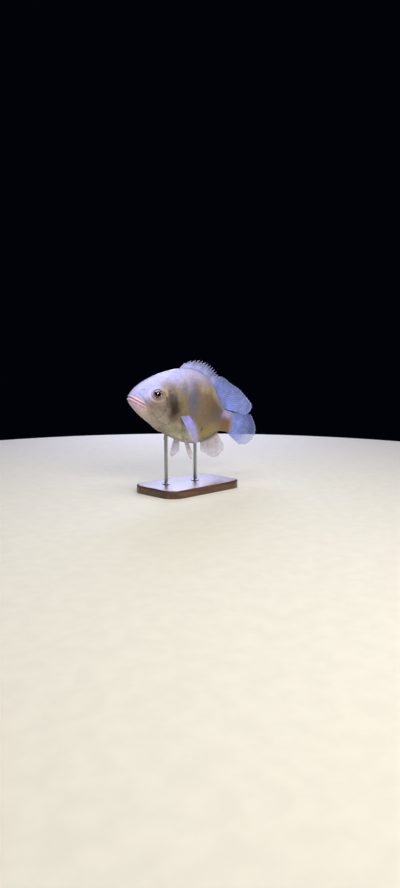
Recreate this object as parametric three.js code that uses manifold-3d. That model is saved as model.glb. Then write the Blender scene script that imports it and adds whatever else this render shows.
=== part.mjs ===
// A life-size adult oscar, held over a flat base by two rods, in the turn of a slow swim.
// Millimetres, +Z up. The origin is the centre of the base's underside and the head points to -X.
//
// The fish is worked out straight first: x runs from the snout to the tail, y to the fish's right and
// z up. Places along it are shares of its standard length, from 0 at the snout to 1 at the end of the
// tail stalk. bend() then lays it along its turning midline, and the group that holds it lifts its nose.
import * as THREE from 'three';
import { mergeVertices } from 'three/addons/utils/BufferGeometryUtils.js';
import Module from 'manifold-3d';

const wasm = await Module();
wasm.setup();

const degrees = THREE.MathUtils.degToRad;
const mix = THREE.MathUtils.lerp;
const smooth = (low, high, value) => THREE.MathUtils.smoothstep(value, low, high);
const SIDES = [['right', 1], ['left', -1]];

// Driving sizes
const LENGTH = 220; // standard length: snout to the end of the tail stalk
const GAP = 0.3; // left between pieces that touch
const ROOT = 4; // how deep a fin's root starts under the skin before it is cut to fit

// Pose, in degrees
const NOSE_UP = 12.3;
const HEAD_HEADING = -22.3; // the head's heading in plan: its rear lies nearer to the fish's left
const TRUNK_TURN = { by: 39.5, from: 0.25, to: 0.68 }; // added to the heading over the trunk
const TAIL_TURN = { by: -42.4, from: 0.8, to: 1.3 }; // added to the heading over the tail
const PIVOT = 0.44; // the place on the fish that stands over the base's centre
const MIDLINE_HEIGHT = 122; // of that place over the floor

// Where the body is parted
const HEAD_END = 0.35;
const TRUNK_END = 0.63;
const REAR_END = 0.86;
const HALF_GAP = GAP / 2 / LENGTH;

// Stand
const BASE = { length: 150, width: 92, height: 12, corner: 22, bevel: 1.6 };
const ROD = { radius: 2.5, sides: 20, places: { front: 0.3, rear: 0.56 } };

// Face. The eyeball is flattened along the skin's normal, and proud is how far it stands out of it.
const EYE = { place: 0.172, height: 0.056, radius: 7.4, flatness: 0.72, proud: 2.2 };
const EYE_RIM = { clear: 0.2, thickness: 1.0, sunk: 0.1 };
const NOSTRIL = { place: 0.083, height: 0.07, radius: 0.9, depth: 4 };
const MOUTH = { front: 0.006, corner: [0.108, -0.036], jawRear: [[0.136, -0.075], [0.19, -0.2]] };
const LIPS = { upper: { offset: 2.1, thickness: 2.5 }, lower: { offset: -2, thickness: 2.7 } };
const LIP_SUNK = 0.5;

// Gill covers: plates let into the head's sides, which stand a little proud of them
const PLATE = { thickness: 2.2, rise: 1.1 };

// A smooth curve through a few [place, value] points. It is drawn against the place's square root,
// which turns an end at the snout into a blunt round nose.
function through(points) {
  const at = points.map(([place]) => Math.sqrt(place));
  const value = points.map(([, v]) => v);
  const last = points.length - 1;
  const slope = value.map((v, i) => {
    const before = Math.max(i - 1, 0);
    const after = Math.min(i + 1, last);
    return (value[after] - value[before]) / (at[after] - at[before]);
  });
  return (place) => {
    const t = THREE.MathUtils.clamp(Math.sqrt(Math.max(place, 0)), at[0], at[last]);
    let i = 0;
    while (i < last - 1 && t > at[i + 1]) i += 1;
    const span = at[i + 1] - at[i];
    const s = (t - at[i]) / span;
    const rise = value[i + 1] - value[i];
    const a = slope[i] * span - rise;
    const b = rise - slope[i + 1] * span;
    return value[i] + rise * s + s * (1 - s) * ((1 - s) * a + s * b);
  };
}

// Outlines of the body as shares of LENGTH, from the snout to the end of the tail stalk
const back = through([
  [0, 0.014], [0.01, 0.046], [0.04, 0.088], [0.1, 0.145], [0.2, 0.21], [0.3, 0.254],
  [0.42, 0.272], [0.56, 0.252], [0.7, 0.19], [0.82, 0.116], [0.91, 0.079], [1, 0.072],
]);
const belly = through([
  [0, -0.01], [0.01, -0.032], [0.04, -0.06], [0.1, -0.103], [0.2, -0.158], [0.32, -0.204],
  [0.44, -0.226], [0.56, -0.216], [0.7, -0.166], [0.82, -0.112], [0.91, -0.09], [1, -0.088],
]);
const halfBreadth = through([
  [0, 0.008], [0.01, 0.026], [0.04, 0.045], [0.1, 0.067], [0.2, 0.09], [0.32, 0.106],
  [0.45, 0.104], [0.6, 0.085], [0.75, 0.056], [0.88, 0.031], [1, 0.012],
]);
const widestHeight = (place) => 0.012 * smooth(0.1, 0.4, place) - 0.01 * smooth(0.5, 0.9, place);

// How much a section narrows towards its top and its bottom: 0 leaves it an ellipse
const PINCH_ABOVE = 0.2;
const pinchBelow = (place) => mix(0.04, 0.16, smooth(0.4, 0.8, place));

// The midline in plan, stepped out along its heading from the snout
const STEP = 0.005;
const STEPS = 320;
const turned = ({ by, from, to }, place) => by * smooth(from, to, place);
const heading = (place) =>
  degrees(HEAD_HEADING + turned(TRUNK_TURN, place) + turned(TAIL_TURN, place));
const midline = [new THREE.Vector2(0, 0)];
for (let i = 0; i < STEPS; i += 1) {
  const angle = heading((i + 0.5) * STEP);
  const step = new THREE.Vector2(Math.cos(angle), Math.sin(angle)).multiplyScalar(STEP * LENGTH);
  midline.push(midline[i].clone().add(step));
}

function onMidline(place) {
  const i = THREE.MathUtils.clamp(Math.floor(place / STEP), 0, STEPS - 1);
  return midline[i].clone().lerp(midline[i + 1], place / STEP - i);
}

function bend(point) {
  const place = point.x / LENGTH;
  const angle = heading(place);
  const foot = onMidline(place);
  return new THREE.Vector3(
    foot.x - point.y * Math.sin(angle),
    foot.y + point.y * Math.cos(angle),
    point.z,
  );
}

// A point on the straight body. Around runs from 0 on the fish's right over its back, and margin
// grows or shrinks the body all round.
function onBody(place, around, margin = 0) {
  const level = widestHeight(place) * LENGTH;
  const up = Math.sin(around);
  const top = back(place) * LENGTH - level;
  const bottom = level - belly(place) * LENGTH;
  const tall = (up > 0 ? top : bottom) + margin;
  const wide = halfBreadth(place) * LENGTH + margin;
  const pinch = up > 0 ? PINCH_ABOVE : pinchBelow(place);
  return new THREE.Vector3(
    place * LENGTH,
    wide * Math.cos(around) * (1 - pinch * up * up),
    level + tall * up,
  );
}

// The point of the body's side at a place and height, on the fish's right for side 1, left for -1
function onSide(place, height, side, margin = 0) {
  const level = widestHeight(place) * LENGTH;
  const reach = height > level ? back(place) * LENGTH - level : level - belly(place) * LENGTH;
  const up = THREE.MathUtils.clamp((height - level) / reach, -1, 1);
  const around = Math.asin(up);
  return onBody(place, side > 0 ? around : Math.PI - around, margin);
}

// The outward direction of the straight body's skin there, from two short steps over it
function sideNormal(place, height, side) {
  const STEP_ALONG = 0.01;
  const STEP_UP = 2;
  const here = onSide(place, height, side);
  const along = onSide(place + STEP_ALONG, height, side).sub(here);
  const up = onSide(place, height + STEP_UP, side).sub(here);
  return up.cross(along).multiplyScalar(side).normalize();
}

// The closed solid of a geometry
function solidOf(geometry) {
  const bare = new THREE.BufferGeometry();
  bare.setAttribute('position', geometry.getAttribute('position'));
  if (geometry.index) bare.setIndex(geometry.index);
  const merged = mergeVertices(bare, 1e-4);
  return new wasm.Manifold(new wasm.Mesh({
    numProp: 3,
    vertProperties: new Float32Array(merged.attributes.position.array),
    triVerts: new Uint32Array(merged.index.array),
  }));
}

// Lays a straight geometry along the midline and gives its solid
function bent(geometry) {
  const position = geometry.getAttribute('position');
  const point = new THREE.Vector3();
  for (let i = 0; i < position.count; i += 1) {
    point.fromBufferAttribute(position, i);
    position.setXYZ(i, ...bend(point));
  }
  return solidOf(geometry);
}

// The largest closed body of a solid, which drops the scraps of a cut
function largest(solid) {
  return solid.decompose().reduce((a, b) => (a.volume() > b.volume() ? a : b));
}

function geometryOf(solid) {
  const mesh = solid.getMesh();
  const geometry = new THREE.BufferGeometry();
  geometry.setAttribute('position', new THREE.BufferAttribute(mesh.vertProperties, 3));
  geometry.setIndex(new THREE.BufferAttribute(mesh.triVerts, 1));
  geometry.computeVertexNormals();
  return geometry;
}

// A closed length of the body between two places. Ease above 1 crowds the rings towards the front.
const AROUND = 32;
function bodyLength(from, to, rings, { margin = 0, ease = 1 } = {}) {
  const geometry = new THREE.CylinderGeometry(1, 1, 1, AROUND, rings);
  const position = geometry.getAttribute('position');
  for (let i = 0; i < position.count; i += 1) {
    const along = (0.5 - position.getY(i)) ** ease;
    const out = Math.hypot(position.getX(i), position.getZ(i));
    const around = Math.atan2(position.getZ(i), position.getX(i));
    const place = mix(from, to, along);
    const rim = onBody(place, around, margin);
    const level = widestHeight(place) * LENGTH;
    position.setXYZ(i, rim.x, rim.y * out, mix(level, rim.z, out));
  }
  return bent(geometry);
}

// A closed sheet over a grid of columns and rows, cut into triangles alike on both faces.
// face(column, row, side) gives its points, with side 1 and -1 for its two faces.
function sheet(columns, rows, face) {
  const positions = [];
  const index = [];
  const wide = columns + 1;
  const vertex = (column, row, side) => (side > 0 ? 0 : wide * (rows + 1)) + row * wide + column;
  const quad = (a, b, c, d) => index.push(a, b, c, a, c, d);
  for (const side of [1, -1]) {
    for (let row = 0; row <= rows; row += 1) {
      for (let column = 0; column <= columns; column += 1) {
        positions.push(...face(column, row, side));
      }
    }
  }
  for (let row = 0; row < rows; row += 1) {
    for (let column = 0; column < columns; column += 1) {
      const [a, b, c, d] = [[0, 0], [1, 0], [1, 1], [0, 1]].map(([x, y]) =>
        vertex(column + x, row + y, 1));
      const other = vertex(0, 0, -1);
      quad(a, b, c, d);
      index.push(a + other, c + other, b + other, a + other, d + other, c + other);
    }
  }
  for (let column = 0; column < columns; column += 1) {
    const next = column + 1;
    quad(vertex(column, 0, -1), vertex(next, 0, -1), vertex(next, 0, 1), vertex(column, 0, 1));
    quad(vertex(column, rows, 1), vertex(next, rows, 1), vertex(next, rows, -1), vertex(column, rows, -1));
  }
  for (let row = 0; row < rows; row += 1) {
    const next = row + 1;
    quad(vertex(0, row, 1), vertex(0, next, 1), vertex(0, next, -1), vertex(0, row, -1));
    quad(vertex(columns, row, -1), vertex(columns, next, -1), vertex(columns, next, 1),
      vertex(columns, row, 1));
  }
  const geometry = new THREE.BufferGeometry();
  geometry.setAttribute('position', new THREE.Float32BufferAttribute(positions, 3));
  geometry.setIndex(index);
  return geometry;
}

// The solid of a bent sheet with its faces out, whichever way its grid winds
function facingOut(geometry) {
  const solid = bent(geometry);
  if (solid.volume() > 0) return solid;
  const corners = geometry.index.array;
  for (let i = 0; i < corners.length; i += 3) {
    const second = corners[i + 1];
    corners[i + 1] = corners[i + 2];
    corners[i + 2] = second;
  }
  return solidOf(geometry);
}

// A fin of rays joined by a thin membrane. Each ray is a ridge with a foot on both of its sides.
// ray(share) gives a ray's root, direction, length, curl and the way the fin faces there.
// Web is the membrane's reach between two rays as a share of theirs, and ridge is the rays' height.
const MEMBRANE = 0.7; // thickness at the root
const MEMBRANE_TAPER = 0.7; // left of it at the edge
const RIDGE_TAPER = 0.25; // left of a ridge there
const FOOT = 0.24; // where a ridge's foot lies between one ray and the next
const ROW_EASE = 0.9;
function fin({ rays, rows, ray, web = 0.98, ridge = 0.9 }) {
  const last = rays - 1;
  const stops = [];
  for (let i = 0; i < last; i += 1) {
    stops.push({ share: i / last, crest: 1 });
    stops.push({ share: (i + FOOT) / last, crest: 0 });
    stops.push({ share: (i + 1 - FOOT) / last, crest: 0 });
  }
  stops.push({ share: 1, crest: 1 });
  const face = (column, row, side) => {
    const { share, crest } = stops[column];
    const { root, direction, length, curl, normal } = ray(share);
    const out = (row / rows) ** ROW_EASE;
    const reach = (length * (crest ? 1 : web) + ROOT) * out - ROOT;
    const free = Math.max(reach, 0);
    const thick = mix(1, MEMBRANE_TAPER, out) * MEMBRANE + crest * ridge * mix(1, RIDGE_TAPER, out);
    return root.clone()
      .addScaledVector(direction, reach)
      .addScaledVector(curl, (free * free) / length)
      .addScaledVector(normal, (side * thick) / 2);
  };
  return facingOut(sheet(stops.length - 1, rows, face));
}

// A ray in the fish's middle plane. Places and angles run from the fin's first ray to its last, and
// an angle is the ray's rise from straight back. Lean below 1 lays the rays back sooner, droop
// lowers the last rays by so many degrees, and sway curls them to the fish's right.
const SIDEWAYS = new THREE.Vector3(0, 1, 0);
const LAST_RAYS = [0.85, 1];
const SWAYING_RAYS = [0.5, 1];
function middleRay(share, { outline, place, angle, lean = 1, length, curl, droop = 0, sway = 0 }) {
  const at = mix(...place, share);
  const rise = degrees(mix(...angle, share ** lean) - droop * smooth(...LAST_RAYS, share));
  return {
    root: new THREE.Vector3(at * LENGTH, 0, outline(at, share) * LENGTH),
    direction: new THREE.Vector3(Math.cos(rise), 0, Math.sin(rise)),
    length: length(share) * LENGTH,
    curl: new THREE.Vector3(Math.sin(rise), 0, -Math.cos(rise)).multiplyScalar(curl)
      .addScaledVector(SIDEWAYS, sway * smooth(...SWAYING_RAYS, share)),
    normal: SIDEWAYS,
  };
}

// Back fin: spines in front, soft rays behind, parted by a gap
const SPINES_END = 0.665;
const SPINES = {
  outline: back,
  place: [0.325, SPINES_END - 1.6 * HALF_GAP],
  angle: [58, 40],
  length: through([[0, 0.052], [0.1, 0.088], [0.3, 0.108], [0.6, 0.118], [1, 0.134]]),
  curl: 0.07,
};
const SOFT_BACK = {
  outline: back,
  place: [SPINES_END + 1.6 * HALF_GAP, 0.915],
  angle: [40, 6],
  length: through([[0, 0.138], [0.25, 0.235], [0.5, 0.32], [0.75, 0.345], [0.9, 0.3], [1, 0.215]]),
  curl: 0.07,
  droop: 5,
  sway: -0.09,
};
const ANAL = {
  outline: belly,
  place: [0.625, 0.86],
  angle: [-66, -36],
  lean: 0.8,
  length: through([[0, 0.07], [0.15, 0.11], [0.45, 0.195], [0.7, 0.22], [0.88, 0.195], [1, 0.15]]),
  curl: -0.08,
};
const TAIL = {
  outline: (place, share) => mix(-0.082, 0.063, share),
  place: [0.985, 0.985],
  angle: [-27, 5],
  length: through([[0, 0.195], [0.2, 0.25], [0.5, 0.285], [0.75, 0.27], [1, 0.225]]),
  curl: 0,
};

// A ray of a paired fin, on the fish's right for side 1 and its left for -1. The root edge runs
// along the body, and the rays spread from the fin's direction towards the fan's edge.
function fanRay(share, side, { root, edge, fanEdge, direction, rootWidth, spread, length, cup }) {
  const mirrored = ([x, y, z]) => new THREE.Vector3(x, y * side, z).normalize();
  const across = mirrored(edge);
  const out = mirrored(direction);
  const normal = mirrored(fanEdge).cross(out).normalize();
  const turn = degrees(mix(-spread, spread, share));
  return {
    root: root(side).addScaledVector(across, mix(rootWidth / 2, -rootWidth / 2, share)),
    direction: out.applyAxisAngle(normal, turn),
    length: length(share) * LENGTH,
    curl: normal.clone().multiplyScalar(cup * side),
    normal,
  };
}

const PECTORAL = {
  root: (side) => onSide(0.363, -0.055 * LENGTH, side),
  edge: [-0.7, 0.1, 0.6],
  fanEdge: [-0.89, 0.44, -0.08],
  direction: [0.336, 0.538, -0.773],
  rootWidth: 12,
  spread: 12,
  length: through([[0, 0.19], [0.2, 0.21], [0.5, 0.195], [0.8, 0.16], [1, 0.125]]),
  cup: 0.12,
};
const PELVIC = {
  root: (side) => onBody(0.415, degrees(side > 0 ? -62 : 242)),
  edge: [-0.9, 0.3, 0.2],
  fanEdge: [-0.9, 0.3, 0.2],
  direction: [0.32, 0.35, -0.85],
  rootWidth: 9,
  spread: 9,
  length: through([[0, 0.125], [0.2, 0.16], [0.4, 0.15], [0.7, 0.125], [1, 0.1]]),
  cup: 0.05,
};

// An outline drawn on the fish's side, in shares of LENGTH, and extruded from one y to another
function acrossSide(outline, from, to) {
  const shape = new THREE.Shape(outline.map(([x, z]) => new THREE.Vector2(x * LENGTH, z * LENGTH)));
  const geometry = new THREE.ExtrudeGeometry(shape, { depth: to - from, bevelEnabled: false });
  geometry.rotateX(Math.PI / 2).translate(0, to, 0);
  return bent(geometry);
}
const FAR_OUT = 60; // beyond either side of the body
const OFF_MIDDLE = 5;

// The mouth's line on the side, from the front to its corner, and the jaw's rear edge below it
const mouthHeight = (place) => mix(MOUTH.front, MOUTH.corner[1], place / MOUTH.corner[0]);
function jawOutline(grow) {
  const slit = grow / LENGTH;
  const ahead = -0.05;
  const [bend1, bend2] = MOUTH.jawRear;
  return [
    [ahead, mouthHeight(ahead) + slit],
    [MOUTH.corner[0] + slit, MOUTH.corner[1] + slit],
    [bend1[0] + slit, bend1[1]],
    bend2,
    [ahead, bend2[1]],
  ];
}

// A lip: a tube that follows the mouth's line round the snout, thinner towards both corners
function lip({ offset, thickness }) {
  const STOPS = 10;
  const REACH = 0.99;
  const CROWDED = 1.8;
  const points = [];
  for (let i = -STOPS; i <= STOPS; i += 1) {
    const share = Math.abs(i) / STOPS;
    const place = MOUTH.corner[0] * REACH * share ** CROWDED;
    const height = mouthHeight(place) * LENGTH + offset * mix(1, 0.6, share);
    const skin = onSide(place, height, Math.sign(i) || 1, -LIP_SUNK);
    points.push(new THREE.Vector3(skin.x, i === 0 ? 0 : skin.y, height));
  }
  const path = new THREE.CatmullRomCurve3(points);
  const tube = new THREE.CylinderGeometry(1, 1, 1, 6, 18);
  const position = tube.getAttribute('position');
  const up = new THREE.Vector3(0, 0, 1);
  for (let i = 0; i < position.count; i += 1) {
    const along = THREE.MathUtils.clamp(0.5 - position.getY(i), 0, 1);
    const tangent = path.getTangentAt(along);
    const out = tangent.clone().cross(up).normalize();
    const above = tangent.clone().cross(out).normalize();
    const size = thickness * mix(0.45, 1, Math.sin(Math.PI * along) ** 0.6);
    const point = path.getPointAt(along)
      .addScaledVector(out, position.getX(i) * size)
      .addScaledVector(above, position.getZ(i) * size);
    position.setXYZ(i, ...point);
  }
  return bent(tube);
}

const Y_AXIS = new THREE.Vector3(0, 1, 0);

// An eyeball, the socket that clears it, and the rim of skin round it
function eyeSolids(side) {
  const height = EYE.height * LENGTH;
  const out = sideNormal(EYE.place, height, side);
  const turn = new THREE.Quaternion().setFromUnitVectors(Y_AXIS, out);
  const skin = onSide(EYE.place, height, side);
  const deep = EYE.radius * EYE.flatness;
  const centre = skin.clone().addScaledVector(out, EYE.proud - deep);
  const ball = (grow) => {
    const geometry = new THREE.SphereGeometry(1, 18, 12);
    geometry.scale(EYE.radius + grow, deep + grow, EYE.radius + grow);
    geometry.applyQuaternion(turn).translate(...centre);
    return bent(geometry);
  };
  const rim = new THREE.TorusGeometry(EYE.radius + EYE_RIM.clear, EYE_RIM.thickness, 5, 20);
  rim.rotateX(Math.PI / 2).applyQuaternion(turn);
  rim.translate(...skin.addScaledVector(out, -EYE_RIM.sunk));
  return { ball: ball(0), socket: ball(GAP), rim: bent(rim) };
}

function nostril(side) {
  const height = NOSTRIL.height * LENGTH;
  const out = sideNormal(NOSTRIL.place, height, side);
  const geometry = new THREE.CylinderGeometry(NOSTRIL.radius, NOSTRIL.radius, NOSTRIL.depth, 10);
  geometry.applyQuaternion(new THREE.Quaternion().setFromUnitVectors(Y_AXIS, out));
  geometry.translate(...onSide(NOSTRIL.place, height, side));
  return bent(geometry);
}

// A gill cover's outline: its front edge down behind the cheek, and its round free edge behind
const GILL_TOP = [0.252, 0.086];
const GILL_FOOT = [0.198, -0.13];
const GILL_FRONT = [[0.233, 0.03], [0.226, -0.06]];
const GILL_REAR = [[0.272, -0.134], [0.322, -0.085], [0.342, -0.01], [0.322, 0.06]];
const GILL_CENTRE = [0.27, -0.02];
function gillOutline(grow) {
  const grown = ([x, z]) => {
    const out = new THREE.Vector2(x - GILL_CENTRE[0], z - GILL_CENTRE[1]);
    return out.addScaledVector(out.clone().normalize(), grow / LENGTH)
      .add(new THREE.Vector2(...GILL_CENTRE));
  };
  const curve = (points) => new THREE.SplineCurve(points.map(grown));
  const front = curve([GILL_TOP, ...GILL_FRONT, GILL_FOOT]).getPoints(6).slice(0, -1);
  const rear = curve([GILL_FOOT, ...GILL_REAR, GILL_TOP]).getPoints(14).slice(0, -1);
  return [...front, ...rear].map(({ x, y }) => [x, y]);
}

// The head, its lower jaw, eyes and gill covers
const HEAD_RINGS = 17;
const HEAD_EASE = 1.7;
function headSolids() {
  const ahead = (margin) => bodyLength(0, HEAD_END, HEAD_RINGS, { margin, ease: HEAD_EASE });
  const whole = bodyLength(0, HEAD_END - HALF_GAP, HEAD_RINGS, { ease: HEAD_EASE });
  const beneath = ahead(-PLATE.thickness);
  const bed = ahead(-PLATE.thickness - GAP);
  const raised = bodyLength(0.1, HEAD_END + 0.02, HEAD_RINGS - 4, { margin: PLATE.rise });
  const jawRegion = acrossSide(jawOutline(0), -FAR_OUT, FAR_OUT);
  const jawClear = acrossSide(jawOutline(GAP), -FAR_OUT, FAR_OUT);
  const solids = {};
  let head = whole.add(lip(LIPS.upper));
  solids.lower_jaw = largest(whole.add(lip(LIPS.lower)).intersect(jawRegion));
  for (const [word, side] of SIDES) {
    const eye = eyeSolids(side);
    const reach = side > 0 ? [OFF_MIDDLE, FAR_OUT] : [-FAR_OUT, -OFF_MIDDLE];
    const plate = acrossSide(gillOutline(0), ...reach);
    const recess = acrossSide(gillOutline(GAP), ...reach);
    solids[`eye_${word}`] = eye.ball;
    solids[`gill_cover_${word}`] = largest(raised.intersect(plate).subtract(beneath));
    head = head.add(eye.rim).subtract(eye.socket).subtract(nostril(side));
    head = head.subtract(recess.subtract(bed));
  }
  solids.head = largest(head.subtract(jawClear));
  return solids;
}

function trunkSolids() {
  return {
    trunk: bodyLength(HEAD_END + HALF_GAP, TRUNK_END - HALF_GAP, 8),
    rear_trunk: bodyLength(TRUNK_END + HALF_GAP, REAR_END - HALF_GAP, 7),
    tail_stalk: bodyLength(REAR_END + HALF_GAP, 1, 5),
  };
}

// The space that the body takes, with the gap round it, for what meets it to be cut by
const bodyClear = bodyLength(0, 1 + 2 * HALF_GAP, 40, { margin: GAP });

function finSolids() {
  const rooted = (sizes) => largest(fin(sizes).subtract(bodyClear));
  const middle = (sizes) => (share) => middleRay(share, sizes);
  const paired = (sizes, side) => (share) => fanRay(share, side, sizes);
  const solids = {
    dorsal_fin_spiny: rooted({ rays: 13, rows: 3, ray: middle(SPINES), web: 0.8, ridge: 1 }),
    dorsal_fin_soft: rooted({ rays: 20, rows: 5, ray: middle(SOFT_BACK) }),
    anal_fin: rooted({ rays: 18, rows: 5, ray: middle(ANAL) }),
    tail_fin: rooted({ rays: 16, rows: 6, ray: middle(TAIL) }),
  };
  for (const [word, side] of SIDES) {
    solids[`pectoral_fin_${word}`] = rooted({ rays: 13, rows: 5, ray: paired(PECTORAL, side), ridge: 0.6 });
    solids[`pelvic_fin_${word}`] = rooted({ rays: 6, rows: 6, ray: paired(PELVIC, side) });
  }
  return solids;
}

// Colours and finishes
const FINISHES = {
  skin: { color: 0xc9c2d6, roughness: 0.45, metalness: 0 },
  fin: { color: 0x9aa0d8, roughness: 0.4, metalness: 0 },
  eye: { color: 0x1a0f0c, roughness: 0.12, metalness: 0 },
  wood: { color: 0x3a2417, roughness: 0.5, metalness: 0 },
  steel: { color: 0xb8bbc0, roughness: 0.3, metalness: 1 },
};
function named(name, geometry, finish) {
  const mesh = new THREE.Mesh(geometry, new THREE.MeshStandardMaterial(FINISHES[finish]));
  mesh.name = name;
  return mesh;
}

// The fish, with its pivot over the base's centre
function makeFish() {
  const fish = new THREE.Group();
  const pivot = onMidline(PIVOT);
  const lift = degrees(NOSE_UP);
  fish.rotation.y = lift;
  fish.position.set(-pivot.x * Math.cos(lift), -pivot.y, MIDLINE_HEIGHT + pivot.x * Math.sin(lift));
  const parts = [[headSolids(), 'skin'], [trunkSolids(), 'skin'], [finSolids(), 'fin']];
  for (const [solids, finish] of parts) {
    for (const [name, solid] of Object.entries(solids)) {
      fish.add(named(name, geometryOf(solid), name.startsWith('eye') ? 'eye' : finish));
    }
  }
  fish.updateMatrixWorld(true);
  return fish;
}

// The base, with rounded corners and bevelled edges
function baseGeometry() {
  const { length, width, height, corner, bevel } = BASE;
  const x = length / 2 - corner;
  const y = width / 2 - corner;
  const radius = corner - bevel;
  const shape = new THREE.Shape();
  const centres = [[x, -y], [x, y], [-x, y], [-x, -y]];
  centres.forEach(([cx, cy], i) => {
    shape.absarc(cx, cy, radius, (i - 1) * (Math.PI / 2), i * (Math.PI / 2), false);
  });
  const geometry = new THREE.ExtrudeGeometry(shape, {
    depth: height - 2 * bevel,
    bevelSize: bevel,
    bevelThickness: bevel,
    bevelSegments: 1,
    curveSegments: 6,
  });
  return geometry.translate(0, 0, bevel);
}

// A rod from the base up to the belly, which its top is cut to
function rodGeometry(place, fish) {
  const INTO_BELLY = 8;
  const foot = new THREE.Vector3(place * LENGTH, 0, belly(place) * LENGTH);
  const top = fish.localToWorld(bend(foot));
  const low = BASE.height + GAP;
  const high = top.z + INTO_BELLY;
  const geometry = new THREE.CylinderGeometry(ROD.radius, ROD.radius, high - low, ROD.sides);
  geometry.rotateX(Math.PI / 2).translate(top.x, top.y, (low + high) / 2);
  const body = geometryOf(bodyClear).applyMatrix4(fish.matrixWorld);
  return geometryOf(largest(solidOf(geometry).subtract(solidOf(body))));
}

const fish = makeFish();
const stand = new THREE.Group();
stand.add(named('stand_base', baseGeometry(), 'wood'));
for (const [word, place] of Object.entries(ROD.places)) {
  stand.add(named(`stand_rod_${word}`, rodGeometry(place, fish), 'steel'));
}

const model = new THREE.Group();
model.add(fish, stand);
export default model;
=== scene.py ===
"""An oscar fish as a still, life-size display model: skin, scales, eyes, fins, stand and stage."""

import math

import bmesh
import bpy
import numpy as np
from bpy.props import FloatProperty, FloatVectorProperty, IntProperty, PointerProperty
from mathutils import Matrix, Vector


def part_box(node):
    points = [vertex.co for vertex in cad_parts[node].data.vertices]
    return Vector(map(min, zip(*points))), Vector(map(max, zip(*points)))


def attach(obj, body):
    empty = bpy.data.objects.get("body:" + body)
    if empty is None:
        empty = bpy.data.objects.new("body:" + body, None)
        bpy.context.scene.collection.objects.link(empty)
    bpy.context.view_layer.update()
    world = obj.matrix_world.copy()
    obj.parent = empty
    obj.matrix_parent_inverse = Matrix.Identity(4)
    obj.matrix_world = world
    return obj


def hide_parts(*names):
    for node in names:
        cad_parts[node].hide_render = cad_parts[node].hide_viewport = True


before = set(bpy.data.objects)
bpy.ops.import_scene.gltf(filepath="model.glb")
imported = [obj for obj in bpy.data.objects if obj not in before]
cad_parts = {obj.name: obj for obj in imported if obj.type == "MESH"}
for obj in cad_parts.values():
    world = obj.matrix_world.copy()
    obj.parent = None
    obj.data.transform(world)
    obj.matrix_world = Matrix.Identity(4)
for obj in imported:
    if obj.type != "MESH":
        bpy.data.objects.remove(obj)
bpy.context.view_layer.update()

bl_info = {
    "name": "Oscar fish display model",
    "version": (1, 0, 0),
    "blender": (4, 5, 0),
    "location": "3D View > Sidebar > Oscar fish",
    "description": "Makes the visible skin, scales, eyes, fins, stand and studio of an oscar fish",
    "category": "Object",
}

MM = 0.001
# The way out of the fish on each side, along y
SIDES = {"right": 1, "left": -1}

# The fish before it bends: x runs from its snout to its tail, y to its right and z up, in metres.
# A place is a share of LENGTH from the snout, and a height is one too. Headings and turns in plan
# are in degrees, and the fish holds its nose up about PIVOT.
LENGTH = 0.220
NOSE_UP = math.radians(12.3)
HEAD_HEADING = -22.3
TRUNK_TURN = {"by": 39.5, "start": 0.25, "end": 0.68}
TAIL_TURN = {"by": -42.4, "start": 0.8, "end": 1.3}
PIVOT = 0.44
MIDLINE_HEIGHT = 0.122


def through(points):
    """A smooth curve through points of place and value, run on the root of the place."""
    at = np.sqrt([place for place, _ in points])
    value = np.array([height for _, height in points])
    last = len(points) - 1
    ahead = np.minimum(np.arange(last + 1) + 1, last)
    behind = np.maximum(np.arange(last + 1) - 1, 0)
    slope = (value[ahead] - value[behind]) / (at[ahead] - at[behind])

    def curve(place):
        root = np.clip(np.sqrt(np.maximum(place, 0.0)), at[0], at[last])
        i = np.clip(np.searchsorted(at, root, side="right") - 1, 0, last - 1)
        span = at[i + 1] - at[i]
        share = (root - at[i]) / span
        rise = value[i + 1] - value[i]
        leave = slope[i] * span - rise
        arrive = rise - slope[i + 1] * span
        bow = share * (1 - share) * ((1 - share) * leave + share * arrive)
        return value[i] + rise * share + bow

    return curve


back = through([
    [0, 0.014], [0.01, 0.046], [0.04, 0.088], [0.1, 0.145], [0.2, 0.21], [0.3, 0.254],
    [0.42, 0.272], [0.56, 0.252], [0.7, 0.19], [0.82, 0.116], [0.91, 0.079], [1, 0.072],
])
belly = through([
    [0, -0.01], [0.01, -0.032], [0.04, -0.06], [0.1, -0.103], [0.2, -0.158], [0.32, -0.204],
    [0.44, -0.226], [0.56, -0.216], [0.7, -0.166], [0.82, -0.112], [0.91, -0.09], [1, -0.088],
])
half_breadth = through([
    [0, 0.008], [0.01, 0.026], [0.04, 0.045], [0.1, 0.067], [0.2, 0.09], [0.32, 0.106],
    [0.45, 0.104], [0.6, 0.085], [0.75, 0.056], [0.88, 0.031], [1, 0.012],
])
# How much the sides draw in above the widest line
PINCH_ABOVE = 0.2
# Past the body's end, at a place of 1, the skin narrows into the foot of the tail fin
TAIL_BASE = {"start": 0.97, "end": 1.075, "thin": 0.2, "low": 0.62, "past": 0.075}


def smooth(low, high, value):
    """A soft step from 0 at low to 1 at high."""
    share = np.clip((np.asarray(value, float) - low) / (high - low), 0, 1)
    return share * share * (3 - 2 * share)


def mix(low, high, share):
    """Low at a share of 0, and high at 1."""
    return low + (high - low) * share


def bump(value, width):
    """1 at a value of 0, fading on both sides over about the width."""
    return np.exp(-(value / width) ** 2)


def widest_height(place):
    """The height of the body's widest line."""
    return 0.012 * smooth(0.1, 0.4, place) - 0.01 * smooth(0.5, 0.9, place)


def pinch_below(place):
    """How much the sides draw in below the widest line."""
    return mix(0.04, 0.16, smooth(0.4, 0.8, place))


# The bent midline is walked in steps of this share of LENGTH
MIDLINE_STEP = 0.005
MIDLINE_STEPS = 320


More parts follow.
